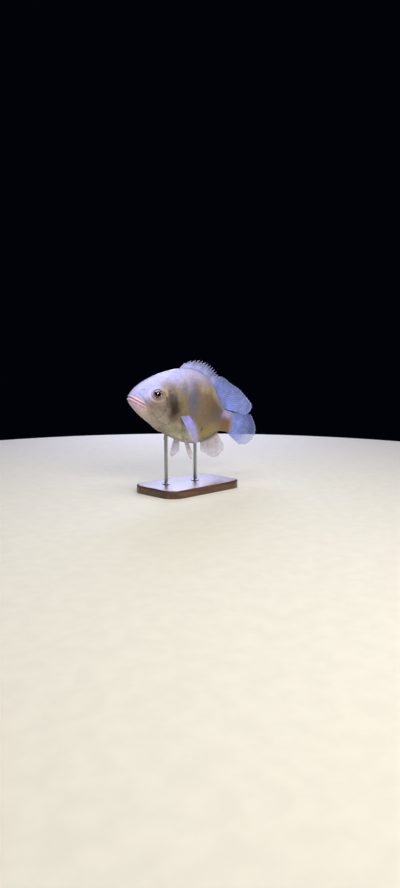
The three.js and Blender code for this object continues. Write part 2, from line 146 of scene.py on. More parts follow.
def heading(place):
    """The fish's heading in plan at a place, in radians."""
    turned = HEAD_HEADING
    for turn in (TRUNK_TURN, TAIL_TURN):
        turned = turned + turn["by"] * smooth(turn["start"], turn["end"], place)
    return np.radians(turned)


def walk_midline():
    """The midline's points in plan, from the snout on."""
    angle = heading((np.arange(MIDLINE_STEPS) + 0.5) * MIDLINE_STEP)
    steps = np.stack([np.cos(angle), np.sin(angle)], 1) * MIDLINE_STEP * LENGTH
    return np.vstack([[0, 0], np.cumsum(steps, axis=0)])


MIDLINE = walk_midline()


def on_midline(place):
    """The midline's point in plan at a place."""
    steps = np.asarray(place) / MIDLINE_STEP
    i = np.clip(np.floor(steps).astype(int), 0, MIDLINE_STEPS - 1)
    share = (steps - i)[..., None]
    return MIDLINE[i] * (1 - share) + MIDLINE[i + 1] * share


def bend(points):
    """Points of the straight fish, as rows of x, y and z, moved to the bent and lifted one."""
    place = points[..., 0] / LENGTH
    angle = heading(place)
    foot = on_midline(place)
    pivot = on_midline(PIVOT)
    x = foot[..., 0] - points[..., 1] * np.sin(angle)
    y = foot[..., 1] + points[..., 1] * np.cos(angle)
    z = points[..., 2]
    across, rise = math.cos(NOSE_UP), math.sin(NOSE_UP)
    return np.stack([
        (x - pivot[0]) * across + z * rise,
        y - pivot[1],
        (pivot[0] - x) * rise + z * across + MIDLINE_HEIGHT,
    ], -1)


def on_body(place, around, margin=0.0, shrink=1.0):
    """A point on the straight body. Around runs from 0 on the fish's right over its back."""
    place = np.asarray(place, float)
    level = widest_height(place) * LENGTH
    up = np.sin(around)
    reach = np.where(up > 0, back(place) * LENGTH - level, level - belly(place) * LENGTH)
    pinch = np.where(up > 0, PINCH_ABOVE, pinch_below(place))
    base = smooth(TAIL_BASE["start"], TAIL_BASE["end"], place)
    past = np.clip((place - 1) / TAIL_BASE["past"], 0, 1)
    reach = reach * mix(1.0, TAIL_BASE["low"], past ** 2)
    breadth = half_breadth(place) * mix(1.0, TAIL_BASE["thin"], base) * LENGTH
    wide = (breadth + margin) * np.cos(around) * (1 - pinch * up * up)
    tall = (reach + margin) * up
    place, wide, tall, level = np.broadcast_arrays(place, wide, tall, level)
    return np.stack([place * LENGTH, wide * shrink, level + tall * shrink], -1)


def around_at(place, height, side):
    """The angle around the body where its side has that height, a share of LENGTH."""
    level = widest_height(place)
    reach = np.where(height > level, back(place) - level, level - belly(place))
    angle = np.arcsin(np.clip((height - level) / reach, -1, 1))
    return angle if side > 0 else math.pi - angle


def unit(vectors):
    """Vectors made 1 long."""
    return vectors / np.maximum(np.linalg.norm(vectors, axis=-1, keepdims=True), 1e-12)


def outwards(place, around):
    """The unit vector out of the straight body at a place and an angle around it."""
    along = unit(on_body(place + 0.002, around) - on_body(place - 0.002, around))
    over = unit(on_body(place, around + 0.01) - on_body(place, around - 0.01))
    out = unit(np.cross(along, over))
    facing = np.stack([0 * out[..., 0], np.cos(around), np.sin(around)], -1)
    return out * np.where(np.sum(out * facing, -1, keepdims=True) < 0, -1, 1)


def fish_places(points):
    """Points of the straight fish as the materials read them: place, height and distance out."""
    return points[..., [0, 2, 1]] / LENGTH


# Lines and marks on the side of the head, as places and heights
EYE = {"place": 0.172, "height": 0.056, "radius": 7.4 * MM, "flatness": 0.72, "proud": 2.2 * MM}
EYE_SOCKET = {"depth": 4.4 * MM, "floor": 5.5 * MM, "rim": 7.1 * MM}
NOSTRIL = {"place": 0.083, "height": 0.07, "radius": 0.95 * MM, "depth": 1.6 * MM,
           "lip": 0.28 * MM, "lip_width": 0.6 * MM}
MOUTH_FRONT = 0.006
MOUTH_CORNER = (0.108, -0.036)
MOUTH_CLOSES = (0.097, 0.112)
# The mouth's slit, at its corners and at its front
SLIT_DEPTH = (1.7 * MM, 1.2 * MM)
SLIT_WIDTH = (0.5 * MM, 0.8 * MM)
GILL_TOP = (0.252, 0.086)
GILL_FOOT = (0.198, -0.13)
GILL_FRONT = [(0.233, 0.03), (0.226, -0.06)]
GILL_REAR = [(0.272, -0.134), (0.322, -0.085), (0.342, -0.01), (0.322, 0.06)]
# The gill cover rises from its hinge to its free edge, which has a soft flap along it
GILL_RISE = 1.1 * MM
GILL_RAMP = 11 * MM
FLAP_HEIGHT = 0.62
FLAP_WIDTH = (1.6 * MM, 2.8 * MM)
FLAP_EDGE = (-0.15 * MM, 0.55 * MM)
GILL_SLIT = {"depth": 0.8 * MM, "behind": 0.5 * MM, "width": 0.8 * MM}
GILLS_END = 0.37
CHEEK_CREASE = [
    (0.214, 0.07), (0.234, 0.03), (0.236, -0.03), (0.224, -0.075), (0.195, -0.105),
    (0.16, -0.115),
]
# Creases of the upper jaw, the lower jaw and the throat: their lines, depths and widths
JAW_CREASES = [
    ([(0.052, 0.036), (0.075, 0.018), (0.096, -0.006), (0.11, -0.034)], 0.45 * MM, 0.7 * MM),
    ([(0.11, -0.04), (0.134, -0.07), (0.16, -0.108), (0.186, -0.15)], 0.4 * MM, 0.8 * MM),
    ([(0.204, -0.131), (0.176, -0.137), (0.15, -0.134), (0.12, -0.116)], 0.7 * MM, 0.8 * MM),
]
# Folds along the mouth's slit, along the cheek's crease and around the eye: how far each stands
# out, how far it is from the line or the eye's middle, and its width
LIP_FOLDS = [
    (1.15 * MM, 2.2 * MM, 1.3 * MM), (1.35 * MM, -2.1 * MM, 1.35 * MM),
    (-0.35 * MM, 4.3 * MM, 0.7 * MM), (-0.35 * MM, -4.4 * MM, 0.7 * MM),
]
CHEEK_FOLDS = [(-0.55 * MM, 0, 0.7 * MM), (0.3 * MM, 1.9 * MM, 1.3 * MM)]
EYE_FOLDS = [(0.55 * MM, 7.5 * MM, 0.85 * MM), (-0.26 * MM, 10.2 * MM, 1.4 * MM)]


def spline(points, steps):
    """A smooth open curve through points, with so many steps from each to the next."""
    knots = np.array([points[0], *points, points[-1]], float)
    share = np.linspace(0, 1, steps, endpoint=False)[:, None]
    runs = []
    for a, b, c, d in zip(knots, knots[1:], knots[2:], knots[3:]):
        leave, arrive = (c - a) / 2, (d - b) / 2
        cubic = (2 * b - 2 * c + leave + arrive) * share ** 3
        square = (3 * c - 3 * b - 2 * leave - arrive) * share ** 2
        runs.append(cubic + square + leave * share + b)
    return np.vstack([*runs, knots[-1:]])


def distance_to(line, place, height):
    """Metres from points to a line on the side: above 0 on its right as it runs, else below."""
    best = np.full(place.shape, 1.0)
    signed = np.full(place.shape, 1.0)
    for start, end in zip(line, line[1:]):
        step = end - start
        ahead = ((place - start[0]) * step[0] + (height - start[1]) * step[1]) / (step @ step)
        ahead = np.clip(ahead, 0, 1)
        x = place - start[0] - step[0] * ahead
        z = height - start[1] - step[1] * ahead
        gap = np.hypot(x, z)
        turn = x * step[1] - z * step[0]
        nearer = gap < best
        best = np.where(nearer, gap, best)
        signed = np.where(nearer, np.where(turn > 0, gap, -gap), signed)
    return signed * LENGTH


GILL_EDGE = spline([GILL_FOOT, *GILL_REAR, GILL_TOP], 8)
GILL_HINGE = spline([GILL_TOP, *GILL_FRONT, GILL_FOOT], 8)


def behind_gills(place, height):
    """Metres behind the gill cover's free edge: below 0 on the cover and in front of it."""
    behind = distance_to(GILL_EDGE, place, height)
    outside = (height > GILL_TOP[1]) | (height < GILL_FOOT[1] - 0.004)
    return np.where(outside & (place < GILL_TOP[0]), -0.02, behind)


def mouth_height(place):
    """The height of the mouth's slit at a place."""
    return mix(MOUTH_FRONT, MOUTH_CORNER[1], place / MOUTH_CORNER[0])


def eye_frame(side):
    """The skin's point under the eye and the direction out of it, on the straight fish."""
    around = around_at(EYE["place"], EYE["height"], side)
    return on_body(EYE["place"], around), outwards(np.array(EYE["place"]), np.array(around))


def folded(distance, folds):
    """How far folds stand out at distances from their line."""
    return sum(stands * bump(distance - away, width) for stands, away, width in folds)


def mouth_relief(place, height):
    """The lips on both sides of the mouth's slit, and the creases of the jaws."""
    above = (height - mouth_height(place)) * LENGTH
    open_part = 1 - smooth(*MOUTH_CLOSES, place)
    fleshy = mix(1.0, 0.55, smooth(0.0, 0.1, place))
    at_front = 1 - smooth(0.0, 0.03, place)
    slit = mix(*SLIT_DEPTH, at_front) * bump(above, mix(*SLIT_WIDTH, at_front))
    out = open_part * (fleshy * folded(above, LIP_FOLDS) - slit)
    for line, depth, width in JAW_CREASES:
        out = out - depth * bump(distance_to(spline(line, 6), place, height), width)
    return out


def gill_relief(place, height):
    """The gill cover's rise to its free edge, the soft flap along it and the slit behind it."""
    behind = behind_gills(place, height)
    hinge = distance_to(GILL_HINGE, place, height)
    inside = (behind < 0) & (hinge < 0)
    flap = mix(FLAP_HEIGHT, 1.0, smooth(*FLAP_WIDTH, -behind))
    cover = GILL_RISE * smooth(0, GILL_RAMP, np.abs(hinge)) * flap * smooth(*FLAP_EDGE, -behind)
    slit = GILL_SLIT["depth"] * bump(behind - GILL_SLIT["behind"], GILL_SLIT["width"])
    crease = distance_to(spline(CHEEK_CREASE, 6), place, height)
    at_slit = behind > -0.3 * MM
    return np.where(inside, cover, 0) - np.where(at_slit, slit, 0) + folded(crease, CHEEK_FOLDS)


def relief(points):
    """How far the skin stands out at points of the straight body, in metres, below 0 for in."""
    place = points[..., 0] / LENGTH
    height = points[..., 2] / LENGTH
    out = np.zeros(place.shape)
    snout = place < 0.2
    out[snout] += mouth_relief(place[snout], height[snout])
    gills = (place > 0.14) & (place < GILLS_END)
    out[gills] += gill_relief(place[gills], height[gills])
    for side in SIDES.values():
        here = (place < 0.26) & (np.sign(points[..., 1]) == side)
        centre, facing = eye_frame(side)
        reach = points[here] - centre
        from_eye = np.linalg.norm(reach - (reach @ facing)[:, None] * facing, axis=-1)
        socket = 1 - smooth(EYE_SOCKET["floor"], EYE_SOCKET["rim"], from_eye)
        out[here] += folded(from_eye, EYE_FOLDS) - EYE_SOCKET["depth"] * socket
        from_nostril = LENGTH * np.hypot(
            place[here] - NOSTRIL["place"], height[here] - NOSTRIL["height"])
        radius = NOSTRIL["radius"]
        lip = NOSTRIL["lip"] * bump(from_nostril - 1.7 * radius, NOSTRIL["lip_width"])
        pit = NOSTRIL["depth"] * (1 - smooth(0.3 * radius, 1.15 * radius, from_nostril))
        out[here] += lip - pit
    return out


# Helpers for meshes
def add_piece(name, mesh, material, replaces=(), values=None, smooth_shade=True):
    """Makes a mesh a piece that rides on the fish, with named values for its vertices."""
    for title, rows in (values or {}).items():
        layer = mesh.attributes.new(title, "FLOAT_VECTOR", "POINT")
        layer.data.foreach_set("vector", np.ascontiguousarray(rows, np.float32).ravel())
    mesh.materials.append(material)
    mesh.polygons.foreach_set("use_smooth", [smooth_shade] * len(mesh.polygons))
    mesh.update()
    piece = bpy.data.objects.new(name, mesh)
    bpy.context.scene.collection.objects.link(piece)
    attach(piece, "root")
    if replaces:
        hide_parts(*replaces)
    return piece


def to_mesh(name, shape):
    """Turns a finished bmesh into a mesh."""
    mesh = bpy.data.meshes.new(name)
    shape.to_mesh(mesh)
    shape.free()
    return mesh


def corners(shape):
    """The places of a bmesh's vertices as rows of x, y and z."""
    return np.array([vertex.co for vertex in shape.verts], float).reshape(-1, 3)


def place_corners(shape, points):
    """Moves a bmesh's vertices to their new places."""
    for vertex, point in zip(shape.verts, points):
        vertex.co = point
    shape.normal_update()


def face_outwards(shape):
    """Turns a closed bmesh's faces outwards."""
    bmesh.ops.recalc_face_normals(shape, faces=shape.faces)
    if shape.calc_volume(signed=True) < 0:
        bmesh.ops.reverse_faces(shape, faces=shape.faces)


# Helpers for materials. Each kind of node has its type, the inputs that take the values in their
# order, its output, and its settings.
NODES = {
    "attribute": ("ShaderNodeAttribute", (), "Vector", {}),
    "body": ("ShaderNodeTexCoord", (), "Object", {}),
    "parts": ("ShaderNodeSeparateXYZ", (0,), slice(0, 3), {}),
    "mapping": ("ShaderNodeMapping", ("Vector", "Scale"), 0, {}),
    "ellipse": ("ShaderNodeMapping", ("Vector", "Location", "Rotation", "Scale"), 0,
                {"vector_type": "TEXTURE"}),
    "noise": ("ShaderNodeTexNoise", ("Vector", "Scale", "Detail"), 0, {}),
    "grain": ("ShaderNodeTexNoise", ("Vector", "Scale", "Detail", "Distortion"), 0, {}),
    "drift": ("ShaderNodeTexNoise", ("Vector", "Scale", "Detail", "Roughness"), "Color", {}),
    "cells": ("ShaderNodeTexVoronoi", ("Vector", "Scale"), "Distance", {}),
    "rings": ("ShaderNodeTexWave", ("Vector", "Scale", "Distortion", "Detail"), "Fac", {}),
    "range": ("ShaderNodeMapRange", (0, 1, 2, 3, 4), 0, {"interpolation_type": "SMOOTHSTEP"}),
    "blend": ("ShaderNodeMix", (0, 6, 7), 2, {"data_type": "RGBA"}),
    "tone": ("ShaderNodeMix", (0, 6, 7), 2, {"data_type": "RGBA", "blend_type": "MULTIPLY"}),
    "product": ("ShaderNodeMath", (0, 1), 0, {"operation": "MULTIPLY"}),
    "larger": ("ShaderNodeMath", (0, 1), 0, {"operation": "MAXIMUM"}),
    "product and sum": ("ShaderNodeMath", (0, 1, 2), 0, {"operation": "MULTIPLY_ADD"}),
    "vector difference": ("ShaderNodeVectorMath", (0, 1), 0, {"operation": "SUBTRACT"}),
    "vector product": ("ShaderNodeVectorMath", (0, 1), 0, {"operation": "MULTIPLY"}),
    "vector sum": ("ShaderNodeVectorMath", (0, 1), 0, {"operation": "ADD"}),
    "length": ("ShaderNodeVectorMath", (0,), "Value", {"operation": "LENGTH"}),
    "distance": ("ShaderNodeVectorMath", (0, 1), "Value", {"operation": "DISTANCE"}),
    "bump": ("ShaderNodeBump", ("Strength", "Distance", "Height"), 0, {}),
    "translucent": ("ShaderNodeBsdfTranslucent", ("Color",), 0, {}),
    "transparent": ("ShaderNodeBsdfTransparent", (), 0, {}),
    "shader blend": ("ShaderNodeMixShader", (0, 1, 2), 0, {}),
}
# A wave texture's bands are this share of its unit apart at a scale of 1
BAND = math.pi / 10


def set_inputs(tree, node, inputs):
    """Sets a node's inputs, each to a value or to another node's output, which is linked."""
    for name, value in inputs.items():
        socket = node.inputs[name]
        if isinstance(value, bpy.types.NodeSocket):
            tree.links.new(value, socket)
        else:
            socket.default_value = value


def add_node(tree, kind, *values, **settings):
    """Adds a node of a kind, with its settings and its inputs, and gives its output."""
    title, inputs, output, usual = NODES[kind]
    node = tree.nodes.new(title)
    for name, value in {**usual, **settings}.items():
        setattr(node, name, value)
    set_inputs(tree, node, dict(zip(inputs, values)))
    return node.outputs[output]


def new_material(name):
    """A new node material, with its tree and its shader."""
    material = bpy.data.materials.new(name)
    material.use_nodes = True
    tree = material.node_tree
    return material, tree, tree.nodes["Principled BSDF"]


def linear(code):
    """An sRGB hex colour as linear red, green, blue and alpha."""
    parts = [int(code[i:i + 2], 16) / 255 for i in (0, 2, 4)]
    light = [part / 12.92 if part <= 0.04045 else ((part + 0.055) / 1.055) ** 2.4 for part in parts]
    return (*light, 1.0)


def colour_field(name, description, code):
    """A colour that a user can change, given as an sRGB hex code."""
    return FloatVectorProperty(
        name=name, description=description, subtype="COLOR", size=4, default=linear(code))


def number_field(name, description, subtype, value, **limits):
    """A length, power or share that a user can change."""
    return FloatProperty(
        name=name, description=description, subtype=subtype, default=value, **limits)


class SkinLooks(bpy.types.PropertyGroup):
    """Colours of the fish's markings."""

    flank: colour_field("Flank", "Ground colour of the sides", "8A7664")
    crown: colour_field("Crown", "Forehead, nape and upper back", "B0B3EE")
    snout: colour_field("Snout", "Pink of the lips and lower snout", "DFB9D2")
    cheek: colour_field("Cheek", "Mauve brown below and behind the eye", "80706A")
    streak: colour_field("Gill streak", "Darkest brown, across the gill cover", "2E2019")
    olive: colour_field("Olive", "Olive of the shoulder and lower flank", "A8912F")
    slate: colour_field("Slate", "Grey-blue upright band behind the gills", "64687C")
    stalk: colour_field("Tail stalk", "Orange brown of the tail stalk", "9C7032")
    belly: colour_field("Belly", "Pale greenish grey of breast and belly", "E6E6D4")
    chin: colour_field("Chin", "Pale tan of chin and throat", "CFC4B8")
    taupe: colour_field("Taupe", "Pale taupe of the upper flank", "CDBBA8")
    brown: colour_field("Brown", "Warm brown of the middle flank", "80634A")
    lilac: colour_field("Lilac", "Greyed lilac of the shoulder and upper tail stalk", "B9B2D6")
    fade: colour_field("Tail base", "Blue lavender that the stalk fades to", "98A2DC")
    moss: colour_field("Moss", "Greyed olive of the upright bands", "7C7446")
    spot: colour_field("Spot", "Small dark spots", "30271F")


class ScaleSizes(bpy.types.PropertyGroup):
    """Sizes of the scales."""

    row: number_field("Row height", "Height of one scale row on the flank", "DISTANCE", 4.7 * MM)
    step: number_field("Column step", "From one column of scales to the next", "DISTANCE",
                       2.0 * MM)
    lift: number_field("Edge lift", "How far a scale's free edge stands over the skin",
                       "DISTANCE", 0.42 * MM)
    thickness: number_field("Thickness", "Thickness of one scale", "DISTANCE", 0.14 * MM)
    seed: IntProperty(name="Seed", description="Starts the scales' small differences", default=7)


class FinLooks(bpy.types.PropertyGroup):
    """Colours and clearness of the fins."""

    membrane: colour_field("Membrane", "Blue lavender of the back and tail fins", "9DB2F8")
    front: colour_field("Front membrane", "Pale lavender between the back fin's spines", "CCD3FF")
    breast: colour_field("Breast fins", "Lavender blue of the breast fins", "B2ACFA")
    ray: colour_field("Rays", "Paler rays", "DDDCF4")
    pale: colour_field("Pale fins", "Pinkish white of the lower fins", "E8DEDA")
    cover: number_field("Membrane cover", "Share of light that a membrane face stops", "FACTOR",
                        0.78, min=0, max=1)
    clearing: number_field("Outer cover", "Share of that cover left at the fins' outer edges",
                           "FACTOR", 0.36, min=0, max=1)
    rim: number_field("Rim", "Strength of the pale rim along the fins' edges", "FACTOR", 0.5,
                      min=0, max=1)
    thickness: number_field("Membrane thickness", "At the fin's root", "DISTANCE", 0.5 * MM)


class EyeLooks(bpy.types.PropertyGroup):
    """Sizes and colours of the eyes."""

    pupil: number_field("Pupil", "Radius of the pupil", "DISTANCE", 3.9 * MM)
    iris: colour_field("Iris", "Apricot gold of the iris", "C98F5A")
    iris_edge: colour_field("Iris edge", "Pale outer part of the iris", "C7B6C4")


class StandLooks(bpy.types.PropertyGroup):
    """Colours of the stand."""

    wood: colour_field("Wood", "Dark stained wood", "3A2417")
    steel: colour_field("Steel", "Brushed steel", "B8BBC0")


class StageLooks(bpy.types.PropertyGroup):
    """The floor, backdrop and lights."""

    floor: colour_field("Floor", "Pale matt floor", "CFCDC2")
    backdrop: colour_field("Backdrop", "Dark blue behind the fish", "020309")
    floor_radius: number_field("Floor radius", "Radius of the round floor", "DISTANCE", 0.8)
    key: number_field("Overhead light", "Power of the softbox overhead", "POWER", 11.0)
    fill: number_field("Fill light", "Power of the light beside the camera", "POWER", 10.0)
    rim: number_field("Rear light", "Power of the light behind, which shines through the fins",
                      "POWER", 9.0)


# Markings on the side, with a painted highlight on the tail stalk's top: centre and half reaches
# as places and heights, tilt in degrees, strength, and how much of the reach is full colour
MARKINGS_AND_HIGHLIGHT = [
    ("brown", (0.65, 0.03), (0.22, 0.17), -8, 0.7, 0.1),
    ("belly", (0.42, -0.19), (0.2, 0.12), -10, 0.95, 0.25),
    ("olive", (0.68, -0.11), (0.28, 0.1), 10, 1.0, 0.3),
    ("taupe", (0.66, 0.15), (0.2, 0.09), -20, 0.95, 0.15),
    ("taupe", (0.5, 0.15), (0.09, 0.06), 0, 0.5, 0.2),
    ("olive", (0.56, 0.14), (0.05, 0.13), -14, 0.36, 0.0),
    ("crown", (0.24, 0.27), (0.4, 0.17), 12, 1.0, 0.35),
    ("lilac", (0.48, 0.25), (0.26, 0.1), -6, 0.85, 0.2),
    ("lilac", (0.36, 0.18), (0.08, 0.12), 0, 0.7, 0.1),
    ("lilac", (0.84, 0.115), (0.16, 0.06), -24, 0.85, 0.2),
    ("chin", (0.12, -0.1), (0.19, 0.09), -38, 0.9, 0.3),
    ("moss", (0.335, -0.155), (0.1, 0.06), 0, 0.75, 0.1),
    ("cheek", (0.23, -0.04), (0.14, 0.14), -20, 0.9, 0.3),
    ("crown", (0.07, 0.085), (0.2, 0.12), 40, 1.0, 0.35),
    ("snout", (0.035, -0.02), (0.11, 0.055), -26, 0.95, 0.2),
    ("slate", (0.405, 0.06), (0.06, 0.2), 2, 0.9, 0.1),
    ("slate", (0.345, 0.115), (0.035, 0.08), 0, 0.8, 0.1),
    ("belly", (0.245, -0.115), (0.12, 0.055), -36, 0.22, 0.2),
    ("moss", (0.335, -0.01), (0.045, 0.17), 4, 0.8, 0.1),
    ("moss", (0.475, -0.06), (0.045, 0.17), 4, 0.42, 0.1),
    ("streak", (0.285, 0.015), (0.05, 0.15), 8, 1.0, 0.25),
    ("stalk", (0.95, -0.04), (0.23, 0.085), -3, 0.95, 0.25),
    ("lilac", (0.94, 0.042), (0.19, 0.055), 12, 1.0, 0.2),
    # Painted highlight: streaks in the crown's lavender and the snout's pink along the tail stalk's
    # top, where the light from above falls
    ("crown", (0.92, 0.038), (0.14, 0.03), 12, 0.85, 0.3),
    ("snout", (0.91, 0.034), (0.12, 0.028), 12, 0.6, 0.2),
    ("lilac", (0.72, 0.25), (0.13, 0.09), -30, 0.85, 0.3),
    ("taupe", (0.725, 0.175), (0.07, 0.045), -30, 0.6, 0.2),
    ("fade", (1.17, -0.01), (0.19, 0.34), 0, 1.0, 0.62),
    ("spot", (0.52, -0.105), (0.014, 0.026), -25, 0.7, 0.1),
    ("spot", (0.43, -0.197), (0.03, 0.012), -12, 0.6, 0.1),
]


def markings(tree, looks):
    """The colour of the markings and of the painted stalk highlight, from the straight fish's
    places and heights.
    """
    fish = add_node(tree, "attribute", attribute_name="fish")
    # The markings' edges wander, in waves about 28 mm long
    drift = add_node(tree, "drift", fish, LENGTH / (27.5 * MM), 5.0, 0.6)
    shift = add_node(tree, "vector difference", drift, (0.5, 0.5, 0.5))
    shift = add_node(tree, "vector product", shift, (0.11, 0.11, 0))
    drawn = add_node(tree, "vector sum", fish, shift)
    flat = add_node(tree, "vector product", drawn, (1, 1, 0))
    colour = tuple(looks.flank)
    for name, centre, reach, tilt, strength, full in MARKINGS_AND_HIGHLIGHT:
        local = add_node(tree, "ellipse", flat, (*centre, 0), (0, 0, math.radians(tilt)),
                         (*reach, 1))
        far = add_node(tree, "length", local)
        share = add_node(tree, "range", far, full, 1.0, strength, 0.0)
        colour = add_node(tree, "blend", share, colour, tuple(getattr(looks, name)))
    return colour


def skin_material(looks):
    """Moist fish skin under clear slime: soft pale ground, satin shine, a faint glow within."""
    material, tree, shader = new_material("moist_skin")
    body = add_node(tree, "body")
    mottle = add_node(tree, "noise", body, 1 / (3.846 * MM), 4.0)
    patchy = add_node(tree, "range", mottle, 0.3, 0.7, 0.9, 1.06)
    # Pores about 0.5 mm apart, drawn at 0.9 mm so that they show
    pores = add_node(tree, "cells", body, 1 / (0.909 * MM))
    height = add_node(tree, "product and sum", pores, 0.35, mottle)
    set_inputs(tree, shader, {
        "Base Color": add_node(tree, "tone", 1.0, markings(tree, looks), patchy),
        "Roughness": add_node(tree, "range", mottle, 0.3, 0.7, 0.34, 0.48),
        "Normal": add_node(tree, "bump", 0.35, 0.3 * MM, height),
        "IOR": 1.4, "Subsurface Weight": 0.12, "Subsurface Scale": 1.0,
        "Subsurface Radius": (3 * MM, 1.8 * MM, 1.4 * MM),
        "Coat Weight": 0.25, "Coat Roughness": 0.22,
    })
    return material


def scale_material(looks, sizes):
    """Thin bony scales under slime: pearly, with painted shade at the root and a painted highlight
    on the raised free edge.
    """
    material, tree, shader = new_material("pearly_scale")
    scale = add_node(tree, "attribute", attribute_name="scale")
    along, _, chance = add_node(tree, "parts", scale)
    own = add_node(tree, "range", chance, 0.0, 1.0, 0.86, 1.08, interpolation_type="LINEAR")
    colour = add_node(tree, "tone", 1.0, markings(tree, looks), own)
    # Painted shade over the root, which lies under the free edges of the scales ahead
    painted_root_shade = add_node(tree, "range", along, 0.42, 0.72, 0.34, 0.0)
    colour = add_node(tree, "blend", painted_root_shade, colour, linear("3B3230"))
    # Painted highlight along the raised free edge, which catches the light
    edge = add_node(tree, "range", along, 0.8, 1.0, 1.0, 1.22)
    colour = add_node(tree, "tone", 1.0, colour, edge)
    # The lateral line's pore, a slot near the middle of the scales that have one, painted dark as
    # the shade in its opening
    from_pore = add_node(tree, "vector product", scale, (1, 1.6, 0))
    from_pore = add_node(tree, "distance", from_pore, (0.72, 0, 0))
    pore = add_node(tree, "range", from_pore, 0.05, 0.11, 0.65, 0.0)
    has_pore = add_node(tree, "range", chance, 0.6 * PORED, 0.9 * PORED)
    pore = add_node(tree, "product", pore, has_pore)
    colour = add_node(tree, "blend", pore, colour, linear("241C1A"))
    # Growth rings about 0.25 mm apart on the real scale, drawn at 0.85 mm so that they show
    unit_length = SCALE_LENGTH * sizes.step
    rings = add_node(tree, "rings", scale, BAND * unit_length / (0.8458 * MM), 1.2, 1.0,
                     bands_direction="X")
    slime = add_node(tree, "noise", add_node(tree, "body"), 1 / (2.381 * MM), 3.0)
    height = add_node(tree, "product and sum", rings, 0.4, slime)
    set_inputs(tree, shader, {
        "Base Color": colour,
        "Roughness": add_node(tree, "range", slime, 0.3, 0.7, 0.32, 0.46),
        "Normal": add_node(tree, "bump", 0.16, 0.2 * MM, height),
        "IOR": 1.42, "Coat Weight": 0.1, "Coat Roughness": 0.2,
    })
    return material


def fin_material(name, looks, membrane, skin_looks, base_share, edge_tone=1.0):
    """Fin membrane between bony rays: clear and tinted, milky along the rays, flesh at its foot."""
    material, tree, shader = new_material(name)
    fin = add_node(tree, "attribute", attribute_name="fin")
    ray_number, out, crest = add_node(tree, "parts", fin)
    cloud = add_node(tree, "noise", add_node(tree, "body"), 1 / (11.11 * MM), 4.0)
    tint = add_node(tree, "range", cloud, 0.3, 0.7, 0.82, 1.12)
    colour = add_node(tree, "tone", 1.0, membrane, tint)
    outer = add_node(tree, "range", out, 0.35, 0.85, 1.0, edge_tone)
    colour = add_node(tree, "tone", 1.0, colour, outer)
    bone = add_node(tree, "range", crest, 0.15, 0.85, 0.0, 0.65 * edge_tone)
    first_ray = add_node(tree, "range", ray_number, 0.1, 0.5, 0.8, 0.0)
    bone = add_node(tree, "larger", bone, first_ray)
    colour = add_node(tree, "blend", bone, colour, tuple(looks.ray))
    foot = add_node(tree, "range", out, 0.06, base_share, 1.0, 0.0)
    colour = add_node(tree, "blend", foot, colour, markings(tree, skin_looks))
    rim = add_node(tree, "range", out, 0.955, 0.99, 0.0, looks.rim)
    colour = add_node(tree, "blend", rim, colour, tuple(looks.ray))
    bone = add_node(tree, "larger", bone, rim)
    thin = add_node(tree, "range", out, 0.3, 0.95, 1.0, looks.clearing)
    cover = add_node(tree, "range", cloud, 0.25, 0.75, looks.cover - 0.08, looks.cover + 0.08)
    cover = add_node(tree, "product", cover, thin)
    cover = add_node(tree, "larger", cover, bone)
    cover = add_node(tree, "larger", cover, foot, use_clamp=True)
    # Joints about 0.7 mm apart in a ray about 60 mm long, drawn at 2 mm so that they show
    joint_scale = BAND * (60 * MM) / (2.0944 * MM)
    joints = add_node(tree, "rings", fin, joint_scale, 0.6, bands_direction="Y")
    height = add_node(tree, "product and sum", joints, 0.5, cloud)
    set_inputs(tree, shader, {
        "Base Color": colour, "Normal": add_node(tree, "bump", 0.25, 0.2 * MM, height),
        "Roughness": 0.36, "IOR": 1.4, "Coat Weight": 0.2, "Coat Roughness": 0.2,
    })
    glow = add_node(tree, "translucent", colour)
    both = add_node(tree, "shader blend", 0.45, shader.outputs[0], glow)
    shown = add_node(tree, "shader blend", cover, add_node(tree, "transparent"), both)
    set_inputs(tree, tree.nodes["Material Output"], {"Surface": shown})
    return material


# The skin is a closed grid: rings from the snout back, each of so many points around
SKIN_AROUND = 320
SKIN_RINGS = 292
SKIN_CAP = 14
SKIN_TAIL_CAP = 4
SKIN_END = 1.07
# How far apart the rings are on snout, cheek and flank, against each other
RING_SPACING = {"snout": 0.26, "cheek": 0.52, "flank": 2.1}
# The snout's rings face away from this place
SNOUT_MIDDLE = 0.062
# How much closer the points around lie on the sides, and wider over back and belly
SIDE_CROWD = 0.42
# The skin lies this far inside the solids' surface, and the scales stand on it
COAT = 0.42 * MM
FLESH = ("head", "lower_jaw", "gill_cover_right", "gill_cover_left", "trunk", "rear_trunk",
         "tail_stalk")


def skin_rings():
    """Each ring's place and shrink: close together on the head, and wider towards the tail."""
    place = np.linspace(0, SKIN_END, 4000)
    on_head = mix(RING_SPACING["snout"], RING_SPACING["cheek"], smooth(0.1, 0.16, place))
    spacing = mix(on_head, RING_SPACING["flank"], smooth(0.35, 0.43, place))
    count = np.concatenate([[0], np.cumsum(1 / spacing[1:])])
    body_rings = SKIN_RINGS - SKIN_CAP - SKIN_TAIL_CAP
    places = np.interp(np.linspace(0, count[-1], body_rings + 1), count, place)
    front = np.linspace(0, 1, SKIN_CAP, endpoint=False)
    rear = np.linspace(1, 0, SKIN_TAIL_CAP + 1)[1:]
    shrink = np.concatenate([front, np.ones(body_rings + 1), rear])
    places = np.concatenate([0 * front, places, 0 * rear + SKIN_END])
    return places, shrink


